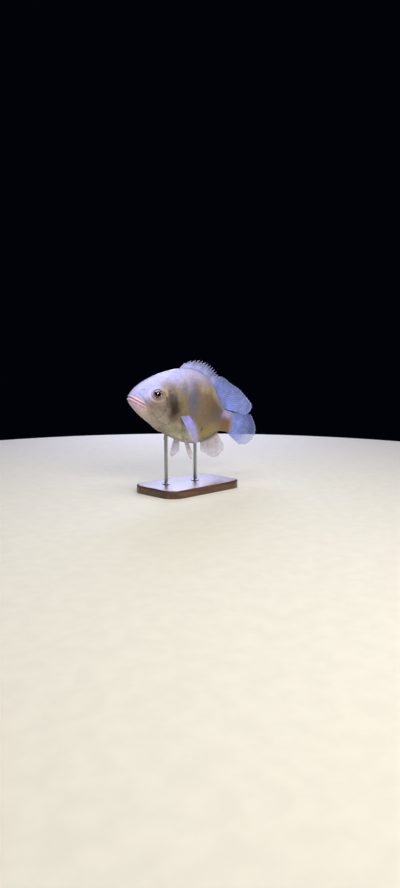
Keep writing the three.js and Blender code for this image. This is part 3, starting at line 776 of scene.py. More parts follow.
def skin_grid():
    """The skin's points on the straight fish, in rings, with its lips, gills and creases."""
    places, shrink = skin_rings()
    share = np.arange(SKIN_AROUND) / SKIN_AROUND
    around = 2 * math.pi * share - SIDE_CROWD / 2 * np.sin(4 * math.pi * share)
    grid = on_body(places[:, None], around[None, :], -COAT, shrink[:, None])
    along = np.gradient(grid, axis=0)
    over = np.roll(grid, -1, axis=1) - np.roll(grid, 1, axis=1)
    out = np.cross(along, over)
    away = grid - on_body(places[:, None], around[None, :], 0, 0.2)
    out = unit(out * np.where(np.sum(out * away, -1, keepdims=True) < 0, -1, 1))
    from_middle = unit(grid - (SNOUT_MIDDLE * LENGTH, 0, 0))
    out = unit(mix(from_middle, out, smooth(0.006, 0.035, places)[:, None, None]))
    # The last rings close the skin inside the tail fin, facing straight back
    out[-3:] = (1, 0, 0)
    grid = grid + out * relief(grid)[..., None]
    for end in (0, -1):
        grid[end] = grid[end].mean(0)
    return grid


class OSCAR_OT_skin(bpy.types.Operator):
    """One skin over head, jaws, gill covers, trunk and tail stalk"""

    bl_idname = "oscar.make_skin"
    bl_label = "Skin"

    def execute(self, context):
        shape = bmesh.new()
        bmesh.ops.create_uvsphere(
            shape, u_segments=SKIN_AROUND, v_segments=SKIN_RINGS, radius=1)
        ball = corners(shape)
        ring = np.arccos(np.clip(ball[:, 2], -1, 1)) * SKIN_RINGS / math.pi
        column = np.arctan2(ball[:, 1], ball[:, 0]) * SKIN_AROUND / (2 * math.pi)
        ring, column = np.rint(ring).astype(int), np.rint(column).astype(int) % SKIN_AROUND
        straight = skin_grid()[ring, column]
        place_corners(shape, bend(straight))
        face_outwards(shape)
        add_piece("skin", to_mesh("skin", shape), skin_material(context.scene.oscar_skin),
                  FLESH, {"fish": fish_places(straight)})
        return {"FINISHED"}


# The scales. A scale's length is in column steps and its width in rows.
SCALE_LENGTH = 3.5
SCALE_WIDTH = 1.16
SCALE_ROUNDING = 0.42
SCALE_TWIST = 0.05
SCALE_CROWN = 0.16 * MM
# How deep a scale's root lies in the skin, and how deep the foremost scales lie in it
ROOT_DEPTH = 0.16 * MM
FRONT_DEPTH = 0.12 * MM
SCALES_START, SCALES_END = 0.13, 1.056
# The pieces of each side, and the places where they start and end
SCALE_PIECES = (("head", 0, 0.35), ("trunk", 0.35, 0.6), ("rear", 0.6, 2))
# Bare skin round the eye's middle, on both sides of the cheek's crease, and along the gill slit,
# from ahead of it to behind
BARE_EYE = 10.5 * MM
BARE_CREASE = 1.1 * MM
BARE_GILLS = (-2.4 * MM, 0.5 * MM)
# Where the scales begin, from the breast up to the nape, as places and heights
FRONT_OF_SCALES = np.array([
    (0.25, -0.19), (0.21, -0.13), (0.17, -0.1), (0.14, -0.07), (0.15, -0.03), (0.195, -0.01),
    (0.225, 0.03), (0.226, 0.11), (0.2, 0.17), (0.24, 0.215),
])
# The lateral line's two runs, as places and heights
LATERAL_LINES = (
    ([0.3, 0.45, 0.64], [0.098, 0.13, 0.128]),
    ([0.62, 0.8, 1.04], [0.02, 0.002, -0.008]),
)
# Added to the chance value of the scales that have a pore of the lateral line
PORED = 2.0
# The bake's map, in shares of its width: a patch for each scale, at its place along the fish and
# its arc up or down from the widest line
BAKE_PATCH = 0.003
BAKE_LENGTH = 0.9
BAKE_HALF = 0.45
BAKE_ARC = 0.09
# Places, and shares of the arc from the widest line to the back or belly, at which it is measured
ARC_PLACES = np.linspace(0.1, 1.1, 201)
ARC_SHARES = np.linspace(0, 1.2, 61)
ARC_TURN = 2.6


def arc_tables():
    """For one side: the arc from its widest line up and down, and the angle at shares of it."""
    angle = np.linspace(0, ARC_TURN, 400)
    tables = []
    for way in (1, -1):
        ring = on_body(ARC_PLACES[:, None], way * angle[None, :])
        steps = np.linalg.norm(np.diff(ring, axis=1), axis=-1)
        arc = np.concatenate([np.zeros((len(ARC_PLACES), 1)), np.cumsum(steps, axis=1)], axis=1)
        full = arc[:, np.searchsorted(angle, math.pi / 2)]
        angles = np.array([
            np.interp(ARC_SHARES * whole, line, angle) for line, whole in zip(arc, full)])
        tables.append((full, angles))
    return tables


ARCS_UP, ARCS_DOWN = arc_tables()


def around_from_arc(place, arc, side):
    """The angle around the body at a length of arc over its side, above 0 for up."""
    row = (place - ARC_PLACES[0]) / (ARC_PLACES[1] - ARC_PLACES[0])
    row = np.clip(row, 0, len(ARC_PLACES) - 1.001)
    i = row.astype(int)
    row = row - i
    result = np.zeros(place.shape)
    for way, (full, angles) in ((1, ARCS_UP), (-1, ARCS_DOWN)):
        whole = mix(full[i], full[i + 1], row)
        share = np.clip(np.abs(arc) / whole, 0, ARC_SHARES[-1] - 1e-6) / ARC_SHARES[1]
        k = share.astype(int)
        share = share - k
        near = mix(angles[i, k], angles[i, k + 1], share)
        far = mix(angles[i + 1, k], angles[i + 1, k + 1], share)
        here = arc * way >= 0
        result[here] = (way * mix(near, far, row))[here]
    return result if side > 0 else math.pi - result


def scale_growth(place):
    """How large the scales are at a place, against those of the flank."""
    return mix(0.64, 1.0, smooth(0.2, 0.5, place)) * mix(1.0, 0.62, smooth(0.6, 1.0, place))


def scale_template():
    """One scale as a closed bmesh: x from 0 at its root to 1, y from -0.5 to 0.5, z its crown."""
    shape = bmesh.new()
    bmesh.ops.create_grid(shape, x_segments=4, y_segments=4, size=0.5)
    bmesh.ops.translate(shape, verts=shape.verts, vec=(0.5, 0, 0))
    bmesh.ops.solidify(shape, geom=shape.faces[:] + shape.edges[:] + shape.verts[:], thickness=1)
    face_outwards(shape)
    return shape


def scale_roots(sizes, rng):
    """The scales' places, arcs and sizes on one side, in columns with every other one shifted."""
    places, arcs, grown = [], [], []
    place = SCALES_START
    while place < SCALES_END:
        growth = float(scale_growth(place))
        row = sizes.row * growth
        up, down = (np.interp(place, ARC_PLACES, full) for full, _ in (ARCS_UP, ARCS_DOWN))
        number = np.arange(-math.ceil(down / row) - 1, math.ceil(up / row) + 2)
        arc = (number + 0.5 * (len(places) % 2)) * row
        arc = arc[(arc < up - 0.1 * row) & (arc > -down + 0.1 * row)]
        places.append(np.full(arc.shape, place))
        arcs.append(arc)
        grown.append(np.full(arc.shape, growth))
        place += sizes.step * growth / LENGTH
    places, arcs, grown = map(np.concatenate, (places, arcs, grown))
    places = places + rng.normal(0, 0.05, places.shape) * sizes.step / LENGTH
    arcs = arcs + rng.normal(0, 0.03, arcs.shape) * sizes.row
    grown = grown * rng.normal(1, 0.035, grown.shape)
    return places, arcs, grown


def on_lateral_line(place, height, growth, row):
    """True for the scales with a pore of the lateral line."""
    found = np.zeros(place.shape, bool)
    for places, heights in LATERAL_LINES:
        near = np.abs(height - np.interp(place, places, heights)) * LENGTH < 0.25 * row * growth
        found |= near & (place > places[0]) & (place < places[-1])
    return found


def front_of_scales(height):
    """The place where the scales begin at a height."""
    wavy = 0.006 * np.sin(height * 90) * np.sin(height * 37 + 1)
    return np.interp(height, FRONT_OF_SCALES[:, 1], FRONT_OF_SCALES[:, 0]) + wavy


def beside_gills(place, height):
    """True where a gill cover's edge is near."""
    return (place > 0.2) & (place < 0.36) & (height < GILL_TOP[1])


def bare_skin(place, height, points, side):
    """True where a scale would lie on a part of the head that has none."""
    bare = place < front_of_scales(height)
    bare |= np.abs(distance_to(spline(CHEEK_CREASE, 6), place, height)) < BARE_CREASE
    behind = behind_gills(place, height)
    bare |= beside_gills(place, height) & (behind > BARE_GILLS[0]) & (behind < BARE_GILLS[1])
    centre, _ = eye_frame(side)
    return bare | (np.linalg.norm(points - centre, axis=-1) < BARE_EYE)


class OSCAR_OT_scales(bpy.types.Operator):
    """Overlapping scales over the skin, in pieces for head, trunk and rear of both sides"""

    bl_idname = "oscar.make_scales"
    bl_label = "Scales"

    def execute(self, context):
        sizes = context.scene.oscar_scales
        material = scale_material(context.scene.oscar_skin, sizes)
        template = scale_template()
        for word, side in SIDES.items():
            rng = np.random.default_rng(sizes.seed + side)
            place, arc, growth = scale_roots(sizes, rng)
            points = on_body(place, around_from_arc(place, arc, side))
            height = points[..., 2] / LENGTH
            keep = ~bare_skin(place, height, points, side)
            place, arc, growth, height = place[keep], arc[keep], growth[keep], height[keep]
            nape = smooth(0.03, 0.09, height)
            shown = smooth(-0.004, mix(0.03, 0.06, nape), place - front_of_scales(height))
            under = (behind_gills(place, height) > 0) & beside_gills(place, height)
            chance = rng.random(len(place))
            chance = chance + PORED * on_lateral_line(place, height, growth, sizes.row)
            for part, start, end in SCALE_PIECES:
                here = (place >= start) & (place < end)
                own = [values[here] for values in (place, arc, growth, chance, shown, under)]
                self.build(f"scales_{part}_{word}", side, sizes, material, template, own)
        template.free()
        return {"FINISHED"}

    def build(self, name, side, sizes, material, template, scales):
        """Makes one piece of copies of the template, each laid on the skin at its root."""
        count = len(scales[0])
        if count == 0:
            raise RuntimeError(f"{name} has no scales")
        place, arc, growth, chance, shown, under = (values[:, None] for values in scales)
        local = corners(template)
        along, across, rise = local.T
        top = np.where(rise > rise.mean(), 1.0, 0.0)
        rounded = along * (1 - SCALE_ROUNDING * (2 * across) ** 2)
        narrow = mix(0.8, 1.0, smooth(0, 0.5, along))
        x = (rounded - 0.5) * (SCALE_LENGTH * sizes.step * growth)
        y = across * narrow * (SCALE_WIDTH * sizes.row * growth)
        twist = SCALE_TWIST * (chance % 1 - 0.5)
        here = place + (x - twist * y) / LENGTH
        around = around_from_arc(here, arc + y + twist * x, side)
        crown = SCALE_CROWN * (1 - (2 * across) ** 2) * smooth(0, 0.6, along)
        crown = crown * (growth * shown ** 2)
        lift = mix(-ROOT_DEPTH, sizes.lift, along ** 1.3) * mix(0.1, 1.0, growth)
        lift = lift * mix(0.3, 1.0, shown) - FRONT_DEPTH * (1 - shown)
        ground = on_body(here, around, -COAT)
        raised = np.zeros(here.shape)
        draped = ((place < GILLS_END) & ~under)[:, 0]
        raised[draped] = relief(ground[draped].reshape(-1, 3)).reshape(-1, len(local))
        proud = lift + crown + raised + (top - 1) * sizes.thickness
        straight = ground + outwards(here, around) * proud[..., None]
        marks = np.stack(np.broadcast_arrays(along, across, chance), -1)
        # The template's faces, repeated for every scale
        faces = np.array([[vertex.index for vertex in face.verts] for face in template.faces])
        if side > 0:
            faces = faces[:, ::-1]
        shifts = np.arange(count)[:, None] * len(local)
        corner_index = (faces.ravel() + shifts).ravel()
        starts = np.arange(len(faces) * count, dtype=np.int32) * faces.shape[1]
        mesh = bpy.data.meshes.new(name)
        mesh.vertices.add(count * len(local))
        mesh.vertices.foreach_set("co", bend(straight).astype(np.float32).ravel())
        mesh.loops.add(len(corner_index))
        mesh.loops.foreach_set("vertex_index", corner_index.astype(np.int32))
        mesh.polygons.add(len(starts))
        mesh.polygons.foreach_set("loop_start", starts)
        mesh.update(calc_edges=True)
        patches = np.stack([
            place * BAKE_LENGTH + (along - 0.5) * BAKE_PATCH,
            0.5 + BAKE_HALF * side * arc / BAKE_ARC + across * BAKE_PATCH], -1)
        patches = patches.reshape(-1, 2)[corner_index]
        layer = mesh.uv_layers.new(name="OFBake")
        layer.data.foreach_set("uv", patches.astype(np.float32).ravel())
        add_piece(name, mesh, material,
                  values={"fish": fish_places(straight), "scale": marks})


# The fins. Places and angles run from a fin's first ray to its last, an angle is a ray's rise
# from straight back, and lengths are shares of LENGTH.
SPINES_END = 0.665
FIN_ROOT = 2.0 * MM
SPINES = {
    "outline": lambda at, share: back(at), "place": (0.325, SPINES_END), "angle": (58, 40),
    "length": through([[0, 0.052], [0.1, 0.088], [0.3, 0.108], [0.6, 0.118], [1, 0.134]]),
    "curl": 0.07, "rays": 13,
}
SOFT_BACK = {
    "outline": lambda at, share: back(at), "place": (SPINES_END, 0.915), "angle": (40, 6),
    "length": through([
        [0, 0.138], [0.25, 0.235], [0.5, 0.32], [0.75, 0.345], [0.9, 0.3], [1, 0.215]]),
    "curl": 0.07, "droop": 5, "sway": -0.09, "rays": 20,
}
ANAL = {
    "outline": lambda at, share: belly(at), "place": (0.625, 0.86), "angle": (-66, -36),
    "lean": 0.8,
    "length": through([
        [0, 0.07], [0.15, 0.11], [0.45, 0.195], [0.7, 0.22], [0.88, 0.195], [1, 0.15]]),
    "curl": -0.08, "rays": 18,
}
TAIL = {
    "outline": lambda at, share: mix(-0.082, 0.063, share), "place": (0.985, 0.985),
    "angle": (-27, 5),
    "length": through([
        [0, 0.165], [0.06, 0.205], [0.2, 0.25], [0.5, 0.285], [0.75, 0.27], [1, 0.225]]),
    "curl": 0, "rays": 16,
}
PECTORAL = {
    "edge": (-0.92, -0.02, -0.18), "fan_edge": (-0.89, 0.44, -0.08),
    "direction": (0.39, 0.53, -0.745), "width": 12 * MM, "spread": 4,
    "length": through([[0, 0.185], [0.15, 0.205], [0.5, 0.185], [0.8, 0.145], [1, 0.105]]),
    "cup": 0.12, "rays": 13,
}
PELVIC = {
    "edge": (-0.9, 0.3, 0.2), "fan_edge": (-0.9, 0.3, 0.2),
    "direction": (0.32, 0.35, -0.85), "width": 9 * MM, "spread": 9,
    "length": through([[0, 0.125], [0.2, 0.16], [0.4, 0.15], [0.7, 0.125], [1, 0.1]]),
    "cup": 0.05, "rays": 6,
}


def middle_rays(share, sizes):
    """A middle fin's rays at shares of it: their roots, directions, lengths, curls and normals."""
    at = mix(*sizes["place"], share)
    rise = mix(*sizes["angle"], share ** sizes.get("lean", 1.0))
    rise = np.radians(rise - sizes.get("droop", 0) * smooth(0.85, 1, share))
    zero = 0 * share
    root = np.stack([at * LENGTH, zero, sizes["outline"](at, share) * LENGTH + zero], -1)
    direction = np.stack([np.cos(rise), zero, np.sin(rise)], -1)
    curl = np.stack([np.sin(rise), zero, -np.cos(rise)], -1) * sizes["curl"]
    curl[:, 1] += sizes.get("sway", 0) * smooth(0.5, 1, share)
    normal = np.stack([zero, zero + 1, zero], -1)
    return root, direction, sizes["length"](share) * LENGTH, curl, normal


def turned_about(vector, axis, angle):
    """A vector turned about a unit axis by each angle."""
    cos, sin = np.cos(angle)[:, None], np.sin(angle)[:, None]
    return vector * cos + np.cross(axis, vector) * sin + axis * (axis @ vector) * (1 - cos)


def fan_rays(share, sizes, root, side):
    """Rays of a paired fin, which spread from its direction within its own face."""
    across = unit(np.array(sizes["edge"], float) * (1, side, 1))
    out = unit(np.array(sizes["direction"], float) * (1, side, 1))
    fan_edge = unit(np.array(sizes["fan_edge"], float) * (1, side, 1))
    normal = unit(np.cross(fan_edge, out))
    turn = np.radians(mix(-sizes["spread"], sizes["spread"], share))
    half = sizes["width"] / 2
    roots = root + across * mix(half, -half, share)[:, None]
    direction = turned_about(out, normal, turn)
    curl = np.broadcast_to(normal * sizes["cup"] * side, direction.shape)
    normals = np.broadcast_to(normal, direction.shape)
    return roots, direction, sizes["length"](share) * LENGTH, curl, normals


def fin_sheet(columns, rows):
    """A closed flat sheet: x and y hold a vertex's share along and out, and z its face."""
    shape = bmesh.new()
    bmesh.ops.create_grid(shape, x_segments=columns, y_segments=rows, size=1)
    made = bmesh.ops.extrude_face_region(shape, geom=shape.faces[:], use_keep_orig=True)
    lifted = [part for part in made["geom"] if isinstance(part, bmesh.types.BMVert)]
    bmesh.ops.translate(shape, verts=lifted, vec=(0, 0, 1))
    return shape


def edge_reach(phase, share, form):
    """How far the fin's edge reaches at a ray number, as a share of the rays' length there."""
    if form["spiny"]:
        # A notch behind each spine, which fades towards the soft part
        deep = form["notch"] * (1 - smooth(0.8, 1.0, share))
        return 1 - deep * np.sin(math.pi * (phase - np.floor(phase)) ** 0.8) ** 0.9
    web = 1 - form["notch"] * (1 - np.cos(2 * math.pi * phase)) / 2
    ragged = np.sin(phase * 11.3 + 1.7 * np.sin(phase * 3.1)) * np.sin(phase * 4.7)
    return web - form["ragged"] * (0.5 + 0.5 * ragged)


def fin_points(share, out, face, rays_of, count, looks, form):
    """The fin's vertices on the straight fish, and each one's ray number, share out and crest."""
    root, direction, length, curl, normal = rays_of(share)
    phase = share * (count - 1)
    apart = np.abs(phase - np.rint(phase))
    for parting, starts, ends in form["branches"]:
        apart = np.abs(apart - parting * smooth(starts, ends, out))
    crest = bump(apart, mix(*form["ray_width"], out)) * mix(1.0, 0.75, out)
    reach = (length * edge_reach(phase, share, form) + FIN_ROOT) * out - FIN_ROOT
    free = np.maximum(reach, 0)
    thick = looks.thickness * mix(1.0, 0.45, out)
    thick = thick + crest * form["ridge"] * mix(1.0, 0.3, out)
    foot = form["foot"] * bump(np.maximum(out, 0), 0.12)
    wave = form["wave"] * out ** 2 * np.sin(phase * form["ripple"] + 1.1)
    wave = wave + 0.5 * form["wave"] * out ** 2 * np.sin(phase * 2.3 * form["ripple"] + out * 2)
    point = root + direction * reach[:, None] + curl * (free * free / length)[:, None]
    point = point + normal * (face * (thick + foot) / 2 + wave)[:, None]
    return point, np.stack([phase, out, crest], -1)


def make_fin(name, node, rays_of, count, samples, rows, material, looks, form):
    """Makes a fin: its sheet laid along its rays, with so many columns from ray to ray."""
    shape = fin_sheet((count - 1) * samples, rows)
    flat = corners(shape)
    share, out = np.clip((flat[:, 0] + 1) / 2, 0, 1), (flat[:, 1] + 1) / 2
    face = np.where(flat[:, 2] > 0.5, 1.0, -1.0)
    point, marks = fin_points(share, out ** 0.92, face, rays_of, count, looks, form)
    place_corners(shape, bend(point))
    face_outwards(shape)
    add_piece(name, to_mesh(name, shape), material, (node,),
              {"fish": fish_places(point), "fin": marks})


# How a fin's sheet is shaped: the notches between its rays, its ragged edge, the rays' ridges, the
# fleshy foot and the waves. Ripple is the waves' turn from one ray to the next. A ray's width at
# its root and tip, and how far its branches part, are shares of the way to the next ray, and each
# branch starts and ends at shares of the way out.
SOFT_FORM = {
    "spiny": False, "notch": 0.02, "ragged": 0.02, "ridge": 0.62 * MM, "foot": 0.9 * MM,
    "wave": 0.9 * MM, "ripple": 0.45, "ray_width": (0.15, 0.055),
    "branches": ((0.25, 0.3, 0.8), (0.12, 0.6, 1.0)),
}
SPINY_FORM = {
    **SOFT_FORM, "spiny": True, "notch": 0.26, "ridge": 0.95 * MM, "wave": 0.4 * MM,
    "ray_width": (0.13, 0.06), "branches": (),
}
PAIRED_FORM = {**SOFT_FORM, "ridge": 0.42 * MM, "foot": 1.2 * MM, "wave": 0.4 * MM}


class OSCAR_OT_middle_fins(bpy.types.Operator):
    """The back, anal and tail fins, with branching rays in a thin membrane"""

    bl_idname = "oscar.make_middle_fins"
    bl_label = "Back, anal and tail fins"

    def execute(self, context):
        looks = context.scene.oscar_fins
        skin = context.scene.oscar_skin
        blue = fin_material("blue_membrane", looks, tuple(looks.membrane), skin, 0.2)
        tail = fin_material("tail_membrane", looks, tuple(looks.membrane), skin, 0.5, 0.66)
        front = fin_material("lavender_membrane", looks, tuple(looks.front), skin, 0.3)
        pale = fin_material("pale_membrane", looks, tuple(looks.pale), skin, 0.3)
        for name, node, sizes, samples, rows, material, form in (
            ("fin_back_spines", "dorsal_fin_spiny", SPINES, 12, 30, front, SPINY_FORM),
            ("fin_back_soft", "dorsal_fin_soft", SOFT_BACK, 14, 48, blue, SOFT_FORM),
            ("fin_anal", "anal_fin", ANAL, 14, 40, pale, SOFT_FORM),
            ("fin_tail", "tail_fin", TAIL, 14, 48, tail, SOFT_FORM),
        ):
            make_fin(name, node, lambda share: middle_rays(share, sizes), sizes["rays"], samples,
                     rows, material, looks, form)
        return {"FINISHED"}


# The middles of the paired fins' roots: the breast fins' place and height, and the belly fins'
# place and angle around the body
BREAST_ROOT = (0.363, -0.055)
BELLY_ROOT = (0.415, {"right": -62, "left": 242})


class OSCAR_OT_paired_fins(bpy.types.Operator):
    """The breast and belly fins of both sides"""

    bl_idname = "oscar.make_paired_fins"
    bl_label = "Breast and belly fins"

    def execute(self, context):
        looks = context.scene.oscar_fins
        skin = context.scene.oscar_skin
        breast = fin_material("breast_membrane", looks, tuple(looks.breast), skin, 0.08)
        white = fin_material("white_membrane", looks, tuple(looks.pale), skin, 0.2)
        for word, side in SIDES.items():
            place, height = BREAST_ROOT
            breast_root = on_body(place, around_at(place, height, side))
            place, around = BELLY_ROOT
            belly_root = on_body(place, math.radians(around[word]))
            for name, node, sizes, root, samples, material in (
                ("fin_breast", "pectoral_fin", PECTORAL, breast_root, 12, breast),
                ("fin_belly", "pelvic_fin", PELVIC, belly_root, 16, white),
            ):
                make_fin(f"{name}_{word}", f"{node}_{word}",
                         lambda share: fan_rays(share, sizes, root, side), sizes["rays"],
                         samples, 36, material, looks, PAIRED_FORM)
        return {"FINISHED"}


# The eyes
def spun(profile, steps):
    """A closed round shape from a profile of radius and height, spun about the z axis."""
    shape = bmesh.new()
    made = [shape.verts.new((radius, 0, height)) for radius, height in profile]
    edges = [shape.edges.new(pair) for pair in zip(made, made[1:])]
    bmesh.ops.spin(shape, geom=made + edges, cent=(0, 0, 0), axis=(0, 0, 1), dvec=(0, 0, 0),
                   angle=2 * math.pi, steps=steps, use_merge=True)
    bmesh.ops.remove_doubles(shape, verts=shape.verts, dist=1e-7)
    return shape


def set_in_eye(shape, side):
    """Moves a shape, made with +Z out of the eye's middle, to its place in the bent fish."""
    skin, facing = eye_frame(side)
    deep = EYE["radius"] * EYE["flatness"]
    centre = skin + facing * (EYE["proud"] - deep)
    turn = Vector((0, 0, 1)).rotation_difference(Vector(facing))
    bmesh.ops.transform(shape, verts=shape.verts, matrix=turn.to_matrix().to_4x4())
    bmesh.ops.translate(shape, verts=shape.verts, vec=Vector(centre))
    place_corners(shape, bend(corners(shape)))
    face_outwards(shape)


def iris_material(looks):
    """Iris of an eye: a ring with gold flecks, dark at the pupil and pale at its rim."""
    material, tree, shader = new_material("gold_iris")
    ring = add_node(tree, "attribute", attribute_name="ring")
    far, low, _ = add_node(tree, "parts", ring)
    fleck = add_node(tree, "noise", ring, EYE["radius"] / (1.057 * MM), 6.0)
    fleck = add_node(tree, "range", fleck, 0.35, 0.65)
    pale = tuple(looks.iris_edge)
    colour = add_node(tree, "blend", fleck, tuple(looks.iris), linear("8A4A22"))
    colour = add_node(tree, "blend", add_node(tree, "range", far, 0.6, 0.86), colour, pale)
    lower = add_node(tree, "range", low, -0.2, 0.5, 0.0, 0.6)
    colour = add_node(tree, "blend", lower, colour, pale)
    rim = add_node(tree, "range", far, 0.5, 0.57, 1.0, 0.0)
    colour = add_node(tree, "blend", rim, colour, linear("120B09"))
    set_inputs(tree, shader, {"Base Color": colour, "Roughness": 0.35})
    return material


def pupil_material():
    """The dark lens that fills a fish's pupil: black, smooth and wet."""
    material, tree, shader = new_material("dark_lens")
    cloud = add_node(tree, "noise", add_node(tree, "body"), 1 / (2 * MM))
    colour = add_node(tree, "blend", cloud, linear("050404"), linear("120D0C"))
    set_inputs(tree, shader, {"Base Color": colour, "Roughness": 0.08, "IOR": 1.42})
    return material


def cornea_material():
    """The clear, wet window of the eye."""
    material, tree, shader = new_material("clear_cornea")
    film = add_node(tree, "noise", add_node(tree, "body"), 1 / (3.333 * MM))
    rough = add_node(tree, "range", film, 0.3, 0.7, 0.02, 0.06)
    set_inputs(tree, shader, {"Roughness": rough, "Transmission Weight": 1.0, "IOR": 1.34})
    return material


# The eyeball's front from the cornea's rim in, as shares of its radius and depth, and then the
# pupil's edge, as distances out from the pupil and shares of the depth
EYE_FRONT = [(0.9, 0.36), (0.84, 0.42), (0.7, 0.5), (0.58, 0.56)]
PUPIL_EDGE = [(0.3 * MM, 0.585), (0, 0.56), (-0.05 * MM, 0.48), (-0.1 * MM, 0.3)]
CORNEA_EDGE = 1.12


def bowl(radius, depth, start, end, steps):
    """A profile round an ellipse, from an angle out of its pole to another one."""
    angles = np.linspace(start, end, steps)
    return [(radius * math.sin(angle), depth * math.cos(angle)) for angle in angles]


class OSCAR_OT_eyes(bpy.types.Operator):
    """Both eyes: an iris round a dark lens, behind a clear cornea"""

    bl_idname = "oscar.make_eyes"
    bl_label = "Eyes"

    def execute(self, context):
        looks = context.scene.oscar_eyes
        iris, lens, clear = iris_material(looks), pupil_material(), cornea_material()
        pupil = looks.pupil
        radius = EYE["radius"]
        deep = radius * EYE["flatness"]
        for word, side in SIDES.items():
            profile = bowl(0.985 * radius, -0.985 * deep, 0, 1.95, 20)
            profile += [(wide * radius, high * deep) for wide, high in EYE_FRONT]
            profile += [(pupil + out, high * deep) for out, high in PUPIL_EDGE]
            shape = spun([*profile, (0, 0.25 * deep)], 64)
            x, y, _ = corners(shape).T
            ring = np.stack([np.hypot(x, y) / radius, y / radius, np.arctan2(y, x)], -1)
            set_in_eye(shape, side)
            name = f"eye_ball_{word}"
            add_piece(name, to_mesh(name, shape), iris, (f"eye_{word}",), {"ring": ring})
            shape = bmesh.new()
            bmesh.ops.create_uvsphere(shape, u_segments=40, v_segments=24, radius=1)
            bmesh.ops.scale(shape, verts=shape.verts, vec=(pupil * 0.97, pupil * 0.97, 0.34 * deep))
            bmesh.ops.translate(shape, verts=shape.verts, vec=(0, 0, 0.36 * deep))
            set_in_eye(shape, side)
            name = f"eye_lens_{word}"
            add_piece(name, to_mesh(name, shape), lens)
            dome = bowl(radius, deep, 0, CORNEA_EDGE, 14)
            inner = bowl(0.955 * radius, 0.94 * deep, CORNEA_EDGE, 0, 14)
            shape = spun(dome + inner, 64)
            set_in_eye(shape, side)
            name = f"eye_cornea_{word}"
            add_piece(name, to_mesh(name, shape), clear)
        return {"FINISHED"}


# The stand
def wood_material(looks):
    """Stained hardwood under satin varnish: long dark pores in a warm brown ground."""
    material, tree, shader = new_material("stained_walnut")
    body = add_node(tree, "body")
    # Bands of grain 11 mm wide and 167 mm long, and pores 0.14 mm wide and 5 mm long
    grain = add_node(tree, "mapping", body, (6, 90, 90))
    bands = add_node(tree, "grain", grain, 1.0, 6.0, 1.2)
    fine = add_node(tree, "mapping", body, (200, 7000, 7000))
    fibre = add_node(tree, "noise", fine, 1.0, 3.0)
    band = add_node(tree, "range", bands, 0.35, 0.65)
    colour = add_node(tree, "blend", band, tuple(looks.wood), linear("6A4429"))
    pore = add_node(tree, "range", fibre, 0.5, 0.7, 0.0, 0.6)
    set_inputs(tree, shader, {
        "Base Color": add_node(tree, "blend", pore, colour, linear("1F120B")),
        "Roughness": add_node(tree, "range", bands, 0.3, 0.7, 0.3, 0.42),
        "Normal": add_node(tree, "bump", 0.25, 0.2 * MM, fibre),
        "Coat Weight": 0.4, "Coat Roughness": 0.18,
    })
    return material


def steel_material(looks):
    """Stainless steel rod, brushed round its axis: grey, with fine bright rings."""
    material, tree, shader = new_material("brushed_steel")
    # Brush marks 3 mm long round the rod and 0.03 mm wide
    turned = add_node(tree, "mapping", add_node(tree, "body"), (300, 300, 35000))
    brush = add_node(tree, "noise", turned, 1.0, 4.0)
    set_inputs(tree, shader, {
        "Base Color": add_node(tree, "blend", brush, tuple(looks.steel), linear("8F9298")),
        "Roughness": add_node(tree, "range", brush, 0.3, 0.7, 0.22, 0.36),
        "Normal": add_node(tree, "bump", 0.08, 0.1 * MM, brush),
        "Metallic": 1.0,
    })
    return material


# Radii of the base's rounded edges and the faces across each: its corners, rim and foot
CORNER_ROUND = (22 * MM, 20)
RIM_ROUND = (2.4 * MM, 5)
FOOT_ROUND = (1.0 * MM, 2)
# A rod's collar: radii in rod radii, and heights over the base
COLLAR = [
    (0, 0), (2.3, 0), (2.3, 1.2 * MM), (2.0, 1.6 * MM), (1.35, 1.8 * MM), (1.2, 2.4 * MM),
    (1, 2.6 * MM),
]
# How far a rod runs on inside the fish, above its solid
ROD_INSERT = 0.9 * MM


def round_edges(shape, edges, size):
    """Rounds edges of a bmesh to a radius, with so many faces across."""
    radius, segments = size
    bmesh.ops.bevel(shape, geom=edges, offset=radius, segments=segments, profile=0.5,
                    affect="EDGES", material=-1)


def edges_at(shape, height):
    """The edges of a bmesh that lie level at a height."""
    return [edge for edge in shape.edges
            if all(abs(vertex.co.z - height) < 1e-6 for vertex in edge.verts)]


class OSCAR_OT_stand(bpy.types.Operator):
    """The wooden base with rounded edges, and the steel rods with their collars"""

    bl_idname = "oscar.make_stand"
    bl_label = "Stand"

    def execute(self, context):
        looks = context.scene.oscar_stand
        steel = steel_material(looks)
        low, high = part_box("stand_base")
        size, middle = high - low, (high + low) / 2
        shape = bmesh.new()
        block = Matrix.Translation(middle) @ Matrix.Diagonal((*size, 1))
        bmesh.ops.create_cube(shape, size=1, matrix=block)
        level = edges_at(shape, low.z) + edges_at(shape, high.z)
        round_edges(shape, [edge for edge in shape.edges if edge not in level], CORNER_ROUND)
        round_edges(shape, edges_at(shape, high.z), RIM_ROUND)
        round_edges(shape, edges_at(shape, low.z), FOOT_ROUND)
        add_piece("base", to_mesh("base", shape), wood_material(looks),
                  ("stand_base",), smooth_shade=False)
        for word in ("front", "rear"):
            foot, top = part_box(f"stand_rod_{word}")
            radius = (top.x - foot.x) / 2
            profile = [(wide * radius, high.z + up) for wide, up in COLLAR]
            end = top.z + ROD_INSERT
            shape = spun([*profile, (radius, end), (0, end)], 48)
            bmesh.ops.translate(
                shape, verts=shape.verts, vec=((foot.x + top.x) / 2, (foot.y + top.y) / 2, 0))
            face_outwards(shape)
            name = f"rod_{word}"
            rod = add_piece(name, to_mesh(name, shape), steel, (f"stand_{name}",))
            rod.data.set_sharp_from_angle(angle=math.radians(35))
        return {"FINISHED"}


